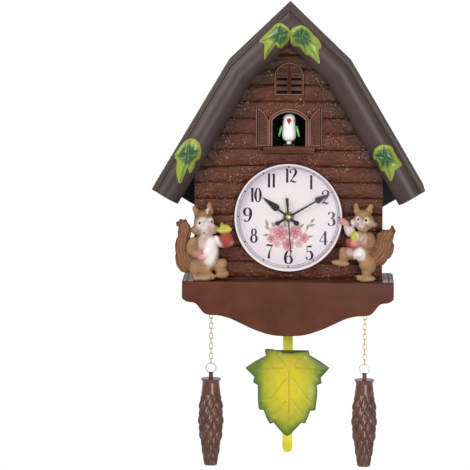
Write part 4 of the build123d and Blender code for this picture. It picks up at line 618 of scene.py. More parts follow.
def shutter_line(side):
    """Outline of a shutter: a tall hinge side and a curved head that falls to the window."""
    head = flowing([
        (SHUTTER_OUT, -8.6), (SHUTTER_OUT - 5.0, -10.4), (SHUTTER_IN + 3.6, -17.0), (SHUTTER_IN, -23.6),
    ], 6)
    line = [(SHUTTER_IN, SHUTTER_FOOT), (SHUTTER_OUT, SHUTTER_FOOT)] + head
    return [(side * x, z) for x, z in line]


def shutter_face(side):
    """Maker of the face of the left or right shutter."""
    outline = shutter_line(side)

    def face(spots):
        """Depth of the shutter: a hinge post, a beaded edge and slanting louvres."""
        rim = nearest(spots, outline)[0]
        across = side * spots[:, 0]
        slats = SHUTTER_FLOOR + 0.5 * np.abs(((spots[:, 1] + side * 0.45 * spots[:, 0]) / 4.1) % 1.0 * 2 - 1)
        depth = np.where(rim > 2.2, slats, 78.9)
        depth = np.maximum(depth, SHUTTER_FLOOR + ridge(rim, 1.0, 1.2, TRIM_FRONT - SHUTTER_FLOOR))
        depth = np.maximum(depth, SHUTTER_FLOOR + ridge(across, 36.8, 0.8, 1.6))
        return np.where((across > 37.7) & (across < 38.5), 78.4, depth)

    return face


opening = arch_line(39.8, -14.6, SILL_TOP, 9.55, steps=30)


def frame_face(spots):
    """Depth of the window frame: a bead round the opening, a hollow, and the stepped sill below."""
    gap = nearest(spots, opening[1:] + opening[:1], closed=False)[0]
    depth = 79.6 + ridge(gap, 0.7, 1.2, 1.4) + ridge(gap, 3.7, 1.3, 1.1)
    sill = np.clip((SILL_TOP - spots[:, 1]) / 0.5, 0, 1)
    edge = np.minimum(-55.3 - spots[:, 1], spots[:, 1] - SILL_FOOT)
    step = np.clip((-60.4 - spots[:, 1]) / 0.7, 0, 1)
    board = 80.2 + 2.2 * np.clip(edge / 1.2, 0, 1) ** 0.5 - 0.9 * step
    return depth * (1 - sill) + board * sill


trim_brown, shader, place = finish("trim_brown", coat=0.08)
cloud = noise(place, 70.0, 4.0)
forward = 0.0 - coordinate(place, "Y")
above_sill = coordinate(place, "Z").between(-0.0556, -0.0552)
# Painted highlight: the foremost ridges above the sill are painted pale, in patches.
edge_highlight = forward.between(0.0797, 0.0806) * above_sill * (0.25 + noise(place, 260.0) * 0.8)
brown = cloud.between(0.3, 0.7).mix((0.056, 0.016, 0.0075), (0.090, 0.028, 0.0145))
# Painted shade: the recessed slats, floors and hollows of the trim are painted near-black.
brown = forward.between(0.0776, 0.0790).mix((0.026, 0.010, 0.007), brown)
put(shader, "Base Color", (edge_highlight * 0.75).mix(brown, (0.30, 0.175, 0.135)))
put(shader, "Roughness", 0.32 + cloud * 0.16)
bump(shader, noise(place, 500.0, 4.0), 0.12, 0.0006)
trim_pieces = (
    (relief("vent_grille", vent_line, 0.42, vent_face, TRIM_BACK, holes=VENT_SLOTS), "attic_vent"),
    (relief("window_surround", window_line, 0.42, frame_face, TRIM_BACK, holes=[opening]), "window_frame"),
    (relief("shutter_left", shutter_line(-1), 0.36, shutter_face(-1), SHUTTER_BACK), "left_shutter"),
    (relief("shutter_right", shutter_line(1), 0.36, shutter_face(1), SHUTTER_BACK), "right_shutter"),
)
# Painted shade: a black sheet behind the vent's slots stands in for the shade inside the case.
shadow_black = moulded(
    "shadow_black", (0.003, 0.003, 0.003), (0.008, 0.007, 0.007), 0.8, grain=2600.0, depth=0.4
)
shadow_sheet = plate("vent_shadow_sheet", [(-16.0, 7.2), (16.0, 7.2), (16.0, 29.0), (-16.0, 29.0)], 73.5, 73.95)
shadow_sheet.data.materials.append(shadow_black)
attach(shadow_sheet, "case")
for piece, node in trim_pieces:
    piece.data.materials.append(trim_brown)
    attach(piece, "case")
    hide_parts(node)

# Bird: a small white moulded figure on a carriage that a solenoid pushes forward in the window. Its beak is
# red and its leaf wings are green. It stands in a black box behind the wall and is pressed onto the carriage
# with a peg.
bird_white = moulded(
    "bird_white", (0.74, 0.70, 0.67), (0.84, 0.81, 0.78), 0.34, depth=0.05, patch=140.0, coat=0.08
)
beak_red = moulded("beak_red", (0.26, 0.014, 0.014), (0.38, 0.03, 0.026), 0.25, depth=0.03, patch=300.0)
wing_green = moulded("wing_green", (0.05, 0.34, 0.045), (0.26, 0.58, 0.20), 0.34, depth=0.06, patch=220.0)
box_black = moulded("box_black", (0.003, 0.004, 0.003), (0.007, 0.009, 0.007), 0.6, depth=0.12)
coil_black = moulded("coil_black", (0.012, 0.012, 0.013), (0.03, 0.028, 0.026), 0.45)
dress(wing_green, "bird_wings")
dress(box_black, "bird_box")
dress(coil_black, "bird_carriage", "bird_solenoid")
dress(bright_steel, "bird_plunger")
bird_profile = [(0.0, -53.5), (2.9, -53.5), (2.9, -51.4), (3.2, -50.6)] + flowing([
    (3.6, -50.2), (6.6, -48.6), (8.2, -45.0), (8.35, -41.0), (7.9, -35.0), (7.5, -28.0), (7.4, -24.0),
    (6.6, -20.2), (4.2, -17.6), (0.0, -16.85),
], 5)
BIRD_DEPTH = 66.0


def spun(name, places, centre, axis, steps, angle):
    """Round piece spun from half its section about an axis."""
    piece = drawn_loop(name, places)
    centre = [value * MM for value in centre]
    bpy.ops.mesh.spin(steps=steps, angle=2 * math.pi, center=centre, axis=axis, use_auto_merge=True)
    bpy.ops.object.mode_set(mode="OBJECT")
    return tidy(piece, angle)


bird_section = [(radius, -BIRD_DEPTH, z) for radius, z in bird_profile]
bird = spun("bird_figure", bird_section, (0, -BIRD_DEPTH, 0), (0, 0, 1), 64, 45.0)
bird.data.materials.append(bird_white)
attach(bird, "bird")
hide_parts("bird_body")


def bead(name, middle, radii, body, made, droop=0.0):
    """Small rounded piece: a ball drawn out to an egg and, for the beak, down to a point."""
    select_only()
    bpy.ops.mesh.primitive_uv_sphere_add(segments=24, ring_count=16, radius=1)
    piece = bpy.context.object
    piece.name = name
    spots = spots_of(piece.data)
    low = np.clip(-spots[:, 2], 0, 1)
    waist = 1 - 0.62 * low ** 0.8 * (droop > 0)
    places = spots * np.array(radii) * np.column_stack([waist, waist, 1 + droop * low])
    move_to(piece.data, (places + np.array(middle)) * MM)
    bpy.ops.object.shade_smooth()
    piece.data.materials.append(made)
    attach(piece, body)
    return piece


eye_black = moulded("eye_black", (0.004, 0.004, 0.004), (0.008, 0.007, 0.007), 0.16, depth=0.02)
hook = bead("bird_hook", (0.0, -74.0, -24.8), (2.7, 2.6, 2.6), "bird", beak_red, 1.0)
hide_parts("bird_beak")
for side, name in ((-1, "bird_eye_left"), (1, "bird_eye_right")):
    bead(name, (side * 6.6, -69.4, -24.4), (0.55, 0.9, 1.0), "bird", eye_black)

# Dial: a printed paper face on a thin plate, with slim upright numerals, a double minute ring, hour dots and
# a spray of pink blossom. The print lies flat on the paper; it is modelled as thin films of ink so that its
# edges stay sharp.
DIAL_FRONT = 74.0
NUMERAL_TALL, NUMERAL_WIDE = 17.0, 19.6
INK_FRONT, SPRAY_FRONT = 74.07, 74.04
RING_RADII = (59.4, 61.5)
DOT_CIRCLE, DOT_RADIUS = 60.6, 0.48
bowl = [(math.sin(turn), math.cos(turn)) for turn in np.linspace(0, 2 * math.pi, 41)]


def bowl_stroke(middle, wide, tall, thick, thin):
    """Closed round stroke, heavy at its sides and fine at its head and foot."""
    return [
        (middle[0] + wide * x, middle[1] + tall * z, thin + (thick - thin) * abs(x) ** 1.6) for x, z in bowl
    ]


# Strokes of each figure in a box one unit high: across, up and half the width of the pen at each point.
SIX = [
    (0.13, 0.86, 0.012), (0.15, 0.9, 0.05), (0.10, 0.965, 0.03), (0.02, 0.985, 0.014), (-0.1, 0.87, 0.04),
    (-0.19, 0.62, 0.062), (-0.205, 0.36, 0.068), (-0.16, 0.12, 0.05), (0.0, 0.012, 0.013),
    (0.14, 0.1, 0.045), (0.19, 0.28, 0.062), (0.15, 0.47, 0.045), (0.03, 0.565, 0.014), (-0.1, 0.5, 0.013),
    (-0.19, 0.35, 0.012),
]
FIGURE_STROKES = {
    "0": [bowl_stroke((0, 0.5), 0.155, 0.487, 0.062, 0.013)],
    "1": [
        [(0.0, 1.0, 0.045), (0.0, 0.8, 0.052), (0.0, 0.0, 0.056)],
        [(-0.11, 0.93, 0.006), (-0.05, 0.955, 0.02), (0.0, 0.99, 0.03)],
    ],
    "2": [
        [
            (-0.13, 0.7, 0.04), (-0.17, 0.77, 0.04), (-0.15, 0.9, 0.016), (0.0, 0.985, 0.014),
            (0.14, 0.91, 0.045), (0.175, 0.76, 0.062), (0.11, 0.56, 0.05), (-0.03, 0.33, 0.022),
            (-0.17, 0.09, 0.012),
        ],
        [
            (-0.19, 0.07, 0.012), (-0.1, 0.12, 0.036), (0.0, 0.09, 0.044), (0.1, 0.05, 0.034),
            (0.2, 0.13, 0.01),
        ],
    ],
    "3": [
        [
            (-0.12, 0.83, 0.04), (-0.15, 0.88, 0.04), (-0.08, 0.97, 0.015), (0.03, 0.985, 0.014),
            (0.14, 0.88, 0.052), (0.14, 0.72, 0.055), (0.06, 0.58, 0.02), (-0.04, 0.54, 0.012),
        ],
        [
            (-0.04, 0.54, 0.012), (0.1, 0.5, 0.03), (0.18, 0.34, 0.064), (0.17, 0.15, 0.056),
            (0.04, 0.012, 0.014), (-0.1, 0.04, 0.016), (-0.16, 0.12, 0.045), (-0.13, 0.18, 0.03),
        ],
    ],
    "4": [
        [(0.09, 1.0, 0.05), (0.09, 0.5, 0.056), (0.09, 0.0, 0.056)],
        [(0.09, 0.99, 0.012), (-0.08, 0.62, 0.013), (-0.26, 0.27, 0.012)],
        [(-0.26, 0.27, 0.012), (0.0, 0.27, 0.012), (0.24, 0.27, 0.012)],
    ],
    "5": [
        [(-0.13, 0.97, 0.012), (-0.05, 0.955, 0.04), (0.06, 0.95, 0.044), (0.17, 0.99, 0.016)],
        [(-0.13, 0.96, 0.012), (-0.135, 0.75, 0.012), (-0.14, 0.56, 0.012)],
        [
            (-0.14, 0.56, 0.012), (-0.02, 0.62, 0.016), (0.12, 0.54, 0.048), (0.18, 0.34, 0.064),
            (0.14, 0.12, 0.05), (0.0, 0.012, 0.014), (-0.12, 0.05, 0.018), (-0.165, 0.14, 0.044),
            (-0.13, 0.19, 0.026),
        ],
    ],
    "6": [SIX],
    "7": [
        [
            (-0.22, 0.9, 0.01), (-0.13, 0.965, 0.034), (-0.02, 0.96, 0.044), (0.09, 0.93, 0.036),
            (0.2, 0.99, 0.012),
        ],
        [(0.2, 0.985, 0.012), (0.07, 0.68, 0.014), (-0.02, 0.36, 0.04), (-0.045, 0.0, 0.06)],
    ],
    "8": [
        bowl_stroke((0, 0.765), 0.125, 0.222, 0.045, 0.016),
        bowl_stroke((0, 0.285), 0.165, 0.272, 0.056, 0.016),
    ],
    "9": [[(-x, 1 - z, pen) for x, z, pen in SIX]],
}
HOURS = {
    "12": (2.0, 49.8), "1": (27.3, 42.0), "2": (44.4, 24.0), "3": (51.6, -2.2), "4": (42.8, -25.6),
    "5": (25.4, -43.5), "6": (0.5, -48.7), "7": (-22.6, -42.3), "8": (-41.6, -23.2), "9": (-49.6, 2.2),
    "10": (-39.3, 26.2), "11": (-20.8, 43.8),
}
PAIR_SPREAD = {"12": (-0.22, 0.19), "10": (-0.26, 0.14), "11": (-0.17, 0.17)}


def film(name, across, along, places):
    """Sheet of ink: a grid of faces laid through rows of points on the dial."""
    select_only()
    bpy.ops.mesh.primitive_grid_add(x_subdivisions=across, y_subdivisions=along, size=2)
    piece = bpy.context.object
    piece.name = name
    move_to(piece.data, np.asarray(places, float).reshape(-1, 3) * MM)
    edit_all()
    bpy.ops.mesh.remove_doubles(threshold=0.000001)
    bpy.ops.mesh.normals_make_consistent(inside=False)
    bpy.ops.object.mode_set(mode="OBJECT")
    if piece.data.polygons[0].normal.y > 0:
        piece.data.flip_normals()
    return piece


def pen_stroke(name, line, widths, front):
    """Ribbon of ink along a line, of the pen's half width at each point."""
    line, widths = np.array(line, float), np.array(widths, float)
    run = np.gradient(line, axis=0)
    if np.allclose(line[0], line[-1]):
        run[0] = run[-1] = line[1] - line[-2]
    length = np.maximum(np.linalg.norm(run, axis=1), 1e-9)
    side = np.column_stack([-run[:, 1], run[:, 0]]) / length[:, None]
    rows = [line + side * (widths * sign)[:, None] for sign in (-1, 1)]
    places = [(x, -front, z) for row in rows for x, z in row]
    return film(name, len(line) - 1, 1, places)


def gather(name, pieces):
    """Join pieces into one, with this name."""
    select_only()
    for piece in pieces:
        piece.select_set(True)
    bpy.context.view_layer.objects.active = pieces[0]
    bpy.ops.object.join()
    pieces[0].name = name
    return pieces[0]


ink = []
for hour, (x, z) in HOURS.items():
    for figure, shift in zip(hour, PAIR_SPREAD.get(hour, (0.0,))):
        for stroke in FIGURE_STROKES[figure]:
            fine = np.array(flowing(stroke, 8))
            middle = (x + shift * NUMERAL_TALL, DIAL_AT[1] + z)
            line = (fine[:, :2] - (0, 0.5)) * (NUMERAL_WIDE, NUMERAL_TALL) + middle
            widths = (fine[:, 2] * 1.32 + 0.010) * NUMERAL_TALL
            ink.append(pen_stroke("stroke", line, widths, INK_FRONT + 0.004 * (len(ink) % 3)))
for hour in range(12):
    turn = math.radians(30 * hour)
    spot = (DOT_CIRCLE * math.sin(turn), DIAL_AT[1] + DOT_CIRCLE * math.cos(turn))
    edge = round_line(spot, DOT_RADIUS, 16) + [(spot[0] + DOT_RADIUS, spot[1])]
    ink.append(pen_stroke("dot", edge, [DOT_RADIUS] * 17, INK_FRONT))
numerals = gather("dial_numerals", ink)
print_black = moulded("print_black", (0.003, 0.003, 0.004), (0.008, 0.007, 0.009), 0.5, depth=0.02)
numerals.data.materials.append(print_black)
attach(numerals, "case")
rings = [
    pen_stroke("ring", round_line(DIAL_AT, radius, 180) + [(radius, DIAL_AT[1])], [0.27] * 181, INK_FRONT)
    for radius in RING_RADII
]
for minute in range(60):
    turn = math.radians(6 * minute)
    ends = [(reach * math.sin(turn), DIAL_AT[1] + reach * math.cos(turn)) for reach in RING_RADII]
    rings.append(pen_stroke("tick", ends, [0.1, 0.1], INK_FRONT + 0.004))
minute_ring = gather("minute_ring", rings)
print_grey = moulded("print_grey", (0.17, 0.15, 0.18), (0.25, 0.22, 0.26), 0.5, depth=0.02)
minute_ring.data.materials.append(print_grey)
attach(minute_ring, "case")

# Spray on the dial: open five-petalled blossom and slim leaves on one long curved twig, in thin washes of
# colour. It is printed on the paper with the numerals, the small pale flowers under the full ones.
PAPER, BLUSH, CORAL = (0.75, 0.63, 0.63), (0.76, 0.37, 0.41), (0.42, 0.05, 0.10)
PALE_BLUSH, PALE_CORAL = (0.78, 0.55, 0.57), (0.60, 0.24, 0.29)
MOSS, PALE_MOSS = (0.17, 0.21, 0.15), (0.42, 0.46, 0.38)


def blend(share, first, second):
    """Row by row mix of two colours."""
    share = np.clip(share, 0.0, 1.0)[:, None]
    return np.asarray(first) * (1 - share) + np.asarray(second) * share


def paint_finish(name, layer, rough, grain, depth, coat=0.0):
    """Painted finish: the piece's own colours under a slightly uneven gloss."""
    made, shader, place = finish(name, coat=coat)
    cloud = noise(place, 220.0, 4.0)
    put(shader, "Base Color", (cloud * 0.22).mix(paint_layer(place, layer), (0.05, 0.04, 0.02)))
    put(shader, "Roughness", rough - 0.08 + cloud * 0.16)
    bump(shader, noise(place, grain, 4.0), depth, 0.0005)
    return made


def wash(name, root, heading, long, wide, heart, rim, front, blunt):
    """Petal or leaf: a drop shape washed from its root colour to its rim colour."""

    def girth(share):
        return wide * np.sin(math.pi * np.clip(share, 0.001, 1) ** blunt) ** 0.8

    along, over = np.meshgrid(np.linspace(0.0, 1.0, 13), np.linspace(-1.0, 1.0, 9))
    way = np.array([math.sin(math.radians(heading)), math.cos(math.radians(heading))])
    aside = np.array([way[1], -way[0]])
    places = np.array(root) + (along * long)[..., None] * way + (over * girth(along))[..., None] * aside
    piece = film(name, 12, 8, [(x, -front, z) for x, z in places.reshape(-1, 2)])
    spots = spots_of(piece.data)[:, [0, 2]] / MM - np.array(root)
    reach = np.clip(spots @ way / long, 0, 1)
    off = np.abs(spots @ aside) / np.maximum(girth(reach), 0.05)
    fade = np.clip(0.25 + 0.75 * reach ** 1.4, 0, 1)
    colours = blend(fade, heart, rim)
    painted(piece, "wash", blend(np.clip(off - 0.62, 0, 1) * 2.8, colours, PAPER))
    return piece


def blossom(middle, size, turn, front, heart, rim):
    """One open flower: five broad petals and five short ones between them."""
    inner = np.array(heart) * 0.45 + np.array(rim) * 0.55
    petals = []
    for n in range(5):
        heading = turn + 72 * n
        petals.append(wash("petal", middle, heading, size, size * 0.52, heart, rim, front + 0.002 * n, 1.5))
    for n in range(5):
        heading = turn + 36 + 72 * n
        lift = front + 0.012 + 0.001 * n
        petals.append(wash("petal", middle, heading, size * 0.58, size * 0.26, heart, inner, lift, 1.4))
    return petals


twig = flowing([
    (-25.0, -12.0), (-15.0, -22.0), (-2.0, -27.5), (12.0, -25.0), (22.0, -16.0), (27.5, -6.0),
], 10)
twig = [(x, DIAL_AT[1] + z) for x, z in twig]
spray = [pen_stroke("twig", twig, [0.35] * len(twig), SPRAY_FRONT)]
painted(spray[0], "wash", np.tile(MOSS, (len(spray[0].data.vertices), 1)))
for x, z, heading, long in (
    (-22.0, -15.5, -60.0, 8.0), (-18.0, -19.0, 20.0, 7.0), (-13.0, -23.5, 215.0, 8.0),
    (4.0, -27.0, 170.0, 8.5), (10.0, -25.5, 15.0, 7.5), (17.0, -21.0, 110.0, 9.0), (22.0, -15.5, 20.0, 8.0),
    (25.0, -11.0, 75.0, 8.0), (-25.0, -12.0, -15.0, 9.0), (27.0, -7.0, 40.0, 7.5),
    (-16.0, -13.0, -35.0, 8.5), (-3.0, -13.0, -20.0, 7.5), (13.0, -13.5, 50.0, 8.0),
    (-13.0, -30.0, 200.0, 8.0), (10.0, -31.0, 140.0, 9.0), (-24.0, -22.0, -95.0, 7.5),
    (23.0, -24.0, 85.0, 7.0),
):
    root = (x, DIAL_AT[1] + z)
    spray.append(wash("leaf", root, heading, long, long * 0.24, MOSS, PALE_MOSS, SPRAY_FRONT + 0.004, 0.8))
for n, (x, z, size, turn) in enumerate((
    (13.0, -32.0, 5.6, 60.0), (-13.5, -32.0, 5.6, 35.0), (-19.0, -16.5, 5.2, 5.0),
    (-9.5, -20.0, 10.5, 10.0), (8.5, -18.5, 9.0, 40.0), (-0.5, -33.5, 8.0, 0.0), (19.0, -25.5, 6.6, 22.0),
    (-20.5, -26.5, 5.8, 50.0),
)):
    tones = (PALE_CORAL, PALE_BLUSH) if n < 3 else (CORAL, BLUSH)
    spray.extend(blossom((x, DIAL_AT[1] + z), size, turn, SPRAY_FRONT + 0.01 * len(spray) / 10, *tones))
posy = gather("dial_spray", spray)
posy.data.materials.append(paint_finish("wash_print", "wash", 0.5, 900.0, 0.02))
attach(posy, "case")
dial_paper, shader, place = finish("dial_paper")
dial_middle = (0.0, -DIAL_FRONT * MM, DIAL_AT[1] * MM)
reach = place.node("ShaderNodeVectorMath", {"operation": "DISTANCE"}, {0: place, 1: dial_middle}, "Value")
mottle = noise(place, 38.0, 4.0)
tint = (reach.between(0.022, 0.060) * 0.8 + (mottle - 0.5) * 0.7).mix((0.76, 0.70, 0.69), (0.72, 0.635, 0.70))
put(shader, "Base Color", tint)
put(shader, "Roughness", 0.5 + mottle * 0.12)
bump(shader, noise(place, 1500.0), 0.03, 0.0003)
dress(dial_paper, "dial_plate")

# Bezel and lens: a spun dark-brown ring with a pale bevel inside it, and a low domed clear lens held under
# its lip. The ring is pressed into a seat in the log wall and carries the lens in front of the hands.
BEZEL_FRONT, VIEW_RADIUS, BEZEL_BORE = 87.5, 62.4, 64.2
BEZEL_BACK = 75.6
bezel_profile = [
    (BEZEL_RADIUS, BEZEL_BACK), (BEZEL_RADIUS, 85.2), (65.8, 86.3), (65.2, 87.1), (64.4, BEZEL_FRONT),
    (63.6, 87.4), (63.1, 87.0), (62.5, 86.5), (VIEW_RADIUS, 86.2), (BEZEL_BORE, 86.0),
    (BEZEL_BORE, BEZEL_BACK),
]


def dial_spun(name, profile, steps):
    """Round piece spun about the middle of the dial."""
    section = [(radius, -depth, DIAL_AT[1]) for radius, depth in profile]
    return spun(name, section, (0, 0, DIAL_AT[1]), (0, 1, 0), steps, 30.0)


bezel = dial_spun("bezel_spun", bezel_profile, 128)
places = spots_of(bezel.data) / MM
reach = np.hypot(places[:, 0], places[:, 2] - DIAL_AT[1])
painted(bezel, "ring_paint", blend((64.9 - reach) / 0.3, (0.030, 0.012, 0.008), (0.70, 0.62, 0.66)))
bezel.data.materials.append(paint_finish("bezel_brown", "ring_paint", 0.3, 900.0, 0.04, coat=0.15))
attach(bezel, "case")
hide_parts("bezel_ring")
lens_clear = bpy.data.materials.new("lens_clear")
lens_clear.use_nodes = True
clear = Tone(lens_clear.node_tree)
lens_clear.node_tree.nodes.remove(lens_clear.node_tree.nodes["Principled BSDF"])
sheen = clear.node("ShaderNodeFresnel", None, {"IOR": 1.46})
smear = noise(clear.node("ShaderNodeTexCoord", out="Object"), 90.0, 3.0)
gloss = clear.node("ShaderNodeBsdfGlossy", None, {"Roughness": 0.12 + smear * 0.1})
through_lens = clear.node("ShaderNodeBsdfTransparent", None, {"Color": (0.985, 0.985, 0.985, 1.0)})
glass = clear.node("ShaderNodeMixShader", None, {0: sheen * 0.4, 1: through_lens, 2: gloss})
lens_clear.node_tree.links.new(glass.socket, lens_clear.node_tree.nodes["Material Output"].inputs["Surface"])
dress(lens_clear, "dial_lens")

# Hands and movement: three pressed hands in black enamel, the olive hexagon nut and washer that clamp the
# movement, and the black quartz movement behind the dial with its cell and setting knob. A thin painted blade
# and a gilt cap lie on the second hand.
hand_black = moulded("hand_black", (0.006, 0.006, 0.006), (0.013, 0.012, 0.012), 0.24, depth=0.03)
brass_nut = metal("brass_nut", (0.14, 0.125, 0.055), (0.30, 0.265, 0.13), 0.34)
movement_black = moulded("movement_black", (0.010, 0.010, 0.011), (0.020, 0.020, 0.021), 0.42)
rubber_black = moulded("rubber_black", (0.012, 0.012, 0.012), (0.020, 0.020, 0.020), 0.7, depth=0.15)
knob_grey = moulded("knob_grey", (0.16, 0.16, 0.17), (0.22, 0.22, 0.23), 0.4)
cell_wrap, shader, place = finish("cell_wrap", coat=0.2)
band = noise(place, 30.0, 2.0)
put(shader, "Base Color", band.between(0.4, 0.6).mix((0.03, 0.10, 0.16), (0.05, 0.14, 0.20)))
put(shader, "Roughness", 0.28 + band * 0.1)
dress(hand_black, "hour_hand", "minute_hand", "second_hand")
dress(brass_nut, "dial_nut")
dress(rubber_black, "dial_washer")
dress(movement_black, "movement_case", "pendulum_drive")
dress(cell_wrap, "movement_cell")
dress(knob_grey, "setting_knob")
cap_profile = [(0.0, 82.55), (1.3, 82.5), (2.5, 82.3), (3.2, 81.9), (3.45, 81.3), (3.45, 80.95), (0.0, 80.95)]
cap = dial_spun("second_cap", cap_profile, 48)
cap.data.materials.append(metal("cap_gold", (0.36, 0.31, 0.17), (0.60, 0.53, 0.33), 0.3))
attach(cap, "second_hand")
SWEEP = math.radians(175.9)
SWEEP_BACK, SWEEP_FRONT = 80.97, 81.47
blade = (
    (-0.95, 0.0), (-0.6, 50.2), (0.0, 51.0), (0.6, 50.2), (0.95, 0.0), (1.85, -23.0), (0.0, -23.6),
    (-1.85, -23.0),
)
sweep_line = [
    (x * math.cos(SWEEP) + z * math.sin(SWEEP), DIAL_AT[1] - x * math.sin(SWEEP) + z * math.cos(SWEEP))
    for x, z in blade
]
sweep = plate("second_sweep", sweep_line, SWEEP_BACK, SWEEP_FRONT, 0.15)
sweep.data.materials.append(hand_black)
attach(sweep, "second_hand")

# Pendulum: a flat yellow-green rod and a moulded leaf, airbrushed from yellow at the heart to green at the
# edge. The leaf's veins are pressed in, and it is glued to the front of the rod with the drive magnet behind.
BOB_MIDDLE, BOB_TOP, BOB_ACROSS, BOB_DOWN = 615, -305.7, 0.096, 0.0922
BOB_BACK, BOB_EDGE = 46.05, 46.6


def on_bob(points):
    """Places on the clock of points drawn on the leaf's own grid."""
    return [((u - BOB_MIDDLE) * BOB_ACROSS, BOB_TOP - v * BOB_DOWN) for u, v in points]


bob_line = on_bob([
    (680, 52), (780, 34), (880, 18), (892, 84), (1020, 160), (1146, 252), (1092, 318), (1035, 382),
    (1050, 458), (985, 486), (994, 560), (990, 640), (970, 824), (905, 826), (875, 918), (840, 1002),
    (792, 990), (730, 1060), (660, 1136), (615, 1168), (560, 1136), (495, 1060), (440, 990), (388, 1008),
    (345, 918), (310, 822), (250, 816), (238, 700), (235, 490), (175, 452), (190, 380), (130, 318),
    (72, 260), (200, 168), (340, 92), (320, 30), (334, 2), (430, 10), (530, 30), (545, 48), (665, 54),
])
BOB_VEINS = [on_bob(vein) for vein in (
    [(632, 300), (634, 700), (622, 1110)],
    [(665, 380), (860, 660), (965, 755)],
    [(600, 390), (410, 655), (262, 700)],
    [(645, 655), (805, 860)],
    [(595, 700), (440, 890)],
    [(560, 255), (400, 262), (190, 290)],
    [(700, 250), (850, 258), (1040, 300)],
    [(590, 235), (450, 45)],
    [(690, 225), (830, 60)],
)]


def vein_gap(spots, veins):
    """Distance from each point to the nearest vein."""
    return np.min([nearest(spots, vein, closed=False)[0] for vein in veins], axis=0)


def bob_face(spots):
    """Depth of the pressed leaf: a low dome with sunk veins and a rolled edge."""
    edge = nearest(spots, bob_line)[0]
    dome = BOB_EDGE + 2.3 * (1 - np.exp(-edge / 5.5))
    return dome - 0.75 * np.exp(-((vein_gap(spots, BOB_VEINS) / 0.75) ** 2))


bob = relief("leaf_face", bob_line, 0.85, bob_face, BOB_BACK)
spots = spots_of(bob.data)[:, [0, 2]] / MM
edge = nearest(spots, bob_line)[0]
vein = vein_gap(spots, BOB_VEINS)
heart = np.linalg.norm((spots - np.array([1.5, -347.0])) / (30.0, 47.0), axis=1)
side = np.abs(spots[:, 0]) / 50.0
share = (1.15 * heart - 0.5) + 0.35 * np.exp(-edge / 4.0) + 0.25 * np.clip(side - 0.55, 0, 1)
share += 0.06 * waves(4, spots, 12, 22, 18)
colours = blend(share * 1.15, (0.60, 0.485, 0.018), (0.29, 0.335, 0.025))
colours = blend((share - 0.72) * 2.0, colours, (0.095, 0.165, 0.016))
colours = blend(1.05 * np.exp(-edge / 1.1), colours, (0.035, 0.07, 0.02))
colours = blend(0.42 * np.exp(-((vein / 0.8) ** 2)), colours, (0.24, 0.24, 0.03))
painted(bob, "leaf_paint", colours)
bob.data.materials.append(paint_finish("leaf_bob_paint", "leaf_paint", 0.34, 700.0, 0.06, coat=0.1))
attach(bob, "pendulum")
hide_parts("leaf_bob")
rod_yellow = moulded("rod_yellow", (0.46, 0.41, 0.03), (0.60, 0.53, 0.04), 0.35, depth=0.05)
dress(rod_yellow, "pendulum_rod")
dress(bright_steel, "drive_magnet")

# Chains and weights: interlinked brass wire links hang from screw hooks under the shelf. A thin steel ring
# joins each chain to a cast pine cone with a dished cap, an eye and rows of pointed scales, in glossy dark
# brown.
CHAIN_X, CHAIN_DEPTH, CONE_TOP, EYE_MIDDLE = 93.6, 50.0, -342.3, -338.0
SCALES_ROUND, SCALES_START, SCALES_PITCH, SCALES_TOP = 8, -21.0, 19.0, -16.0
EYE_HALF, EYE_BORE, EYE_THICK = 3.5, 1.9, 5.0
CONE_PROFILE = (
    (0.0, 3.0), (-0.4, 6.0), (-0.2, 9.6), (0.0, 12.0), (-0.5, 12.2), (-1.6, 11.6), (-4.4, 10.2),
    (-8.0, 10.5), (-14.0, 11.2), (-20.5, 12.2), (-30.0, 13.6), (-42.0, 14.8), (-58.0, 14.9), (-70.0, 13.6),
    (-80.0, 11.9), (-93.0, 9.9), (-102.0, 8.6), (-105.9, 7.8), (-106.9, 6.4), (-106.9, 0.02),
)
brass_wire = metal("brass_wire", (0.48, 0.37, 0.09), (0.78, 0.63, 0.22), 0.28)
dress(brass_wire, "chain_hooks", "left_chain", "right_chain")
dress(bright_steel, "left_ring", "right_ring")


def scale_way(around, down, way):
    """Count of scales along one of the two spirals that cross on the cone."""
    return SCALES_ROUND * around / (2 * math.pi) + way * (down - SCALES_START) / SCALES_PITCH


def below_cap(down):
    """0 on the smooth neck of the cone, 1 where the scales are full."""
    return np.clip((SCALES_TOP - down) / 5.0, 0, 1)


drop, girth = np.array(flowing(CONE_PROFILE, 9)).T
turns = np.linspace(0, 2 * math.pi, 145)
around, down = np.meshgrid(turns, drop)
radius = np.repeat(girth[:, None], len(turns), 1)
left_share, right_share = (scale_way(around, down, way) % 1 - 0.5 for way in (1, -1))
scale_bulge = ((1 - 4 * left_share ** 2) * (1 - 4 * right_share ** 2)) ** 0.55
tilt = 0.65 - 0.55 * (left_share - right_share)
scaled = below_cap(down) * np.clip((down + 106.5) / 3.0, 0, 1)
radius = radius + scaled * (3.5 * scale_bulge * tilt - 1.75) * radius / 15.0
cone_rows = np.stack([radius * np.cos(around), radius * np.sin(around), CONE_TOP + down], -1)
eye_turns = np.linspace(0, 2 * math.pi, 33)


def eye_edge(turn):
    """Outer edge of the cone's eye: a round head on a square foot."""
    across, up = math.cos(turn), math.sin(turn)
    if up < 0:
        return EYE_HALF * np.clip(1.42 * across, -1, 1), -5.2 * np.clip(-1.42 * up, 0, 1)
    return EYE_HALF * across, 3.7 * up


eye_outer = [eye_edge(turn) for turn in eye_turns]
eye_inner = [(EYE_BORE * math.cos(turn), EYE_BORE * math.sin(turn)) for turn in eye_turns]
cone_brown, shader, place = finish("cone_brown", coat=0.4, gloss=0.4)
cloud = noise(place, 90.0, 4.0)
brown = cloud.between(0.3, 0.7).mix((0.070, 0.021, 0.011), (0.124, 0.039, 0.021))
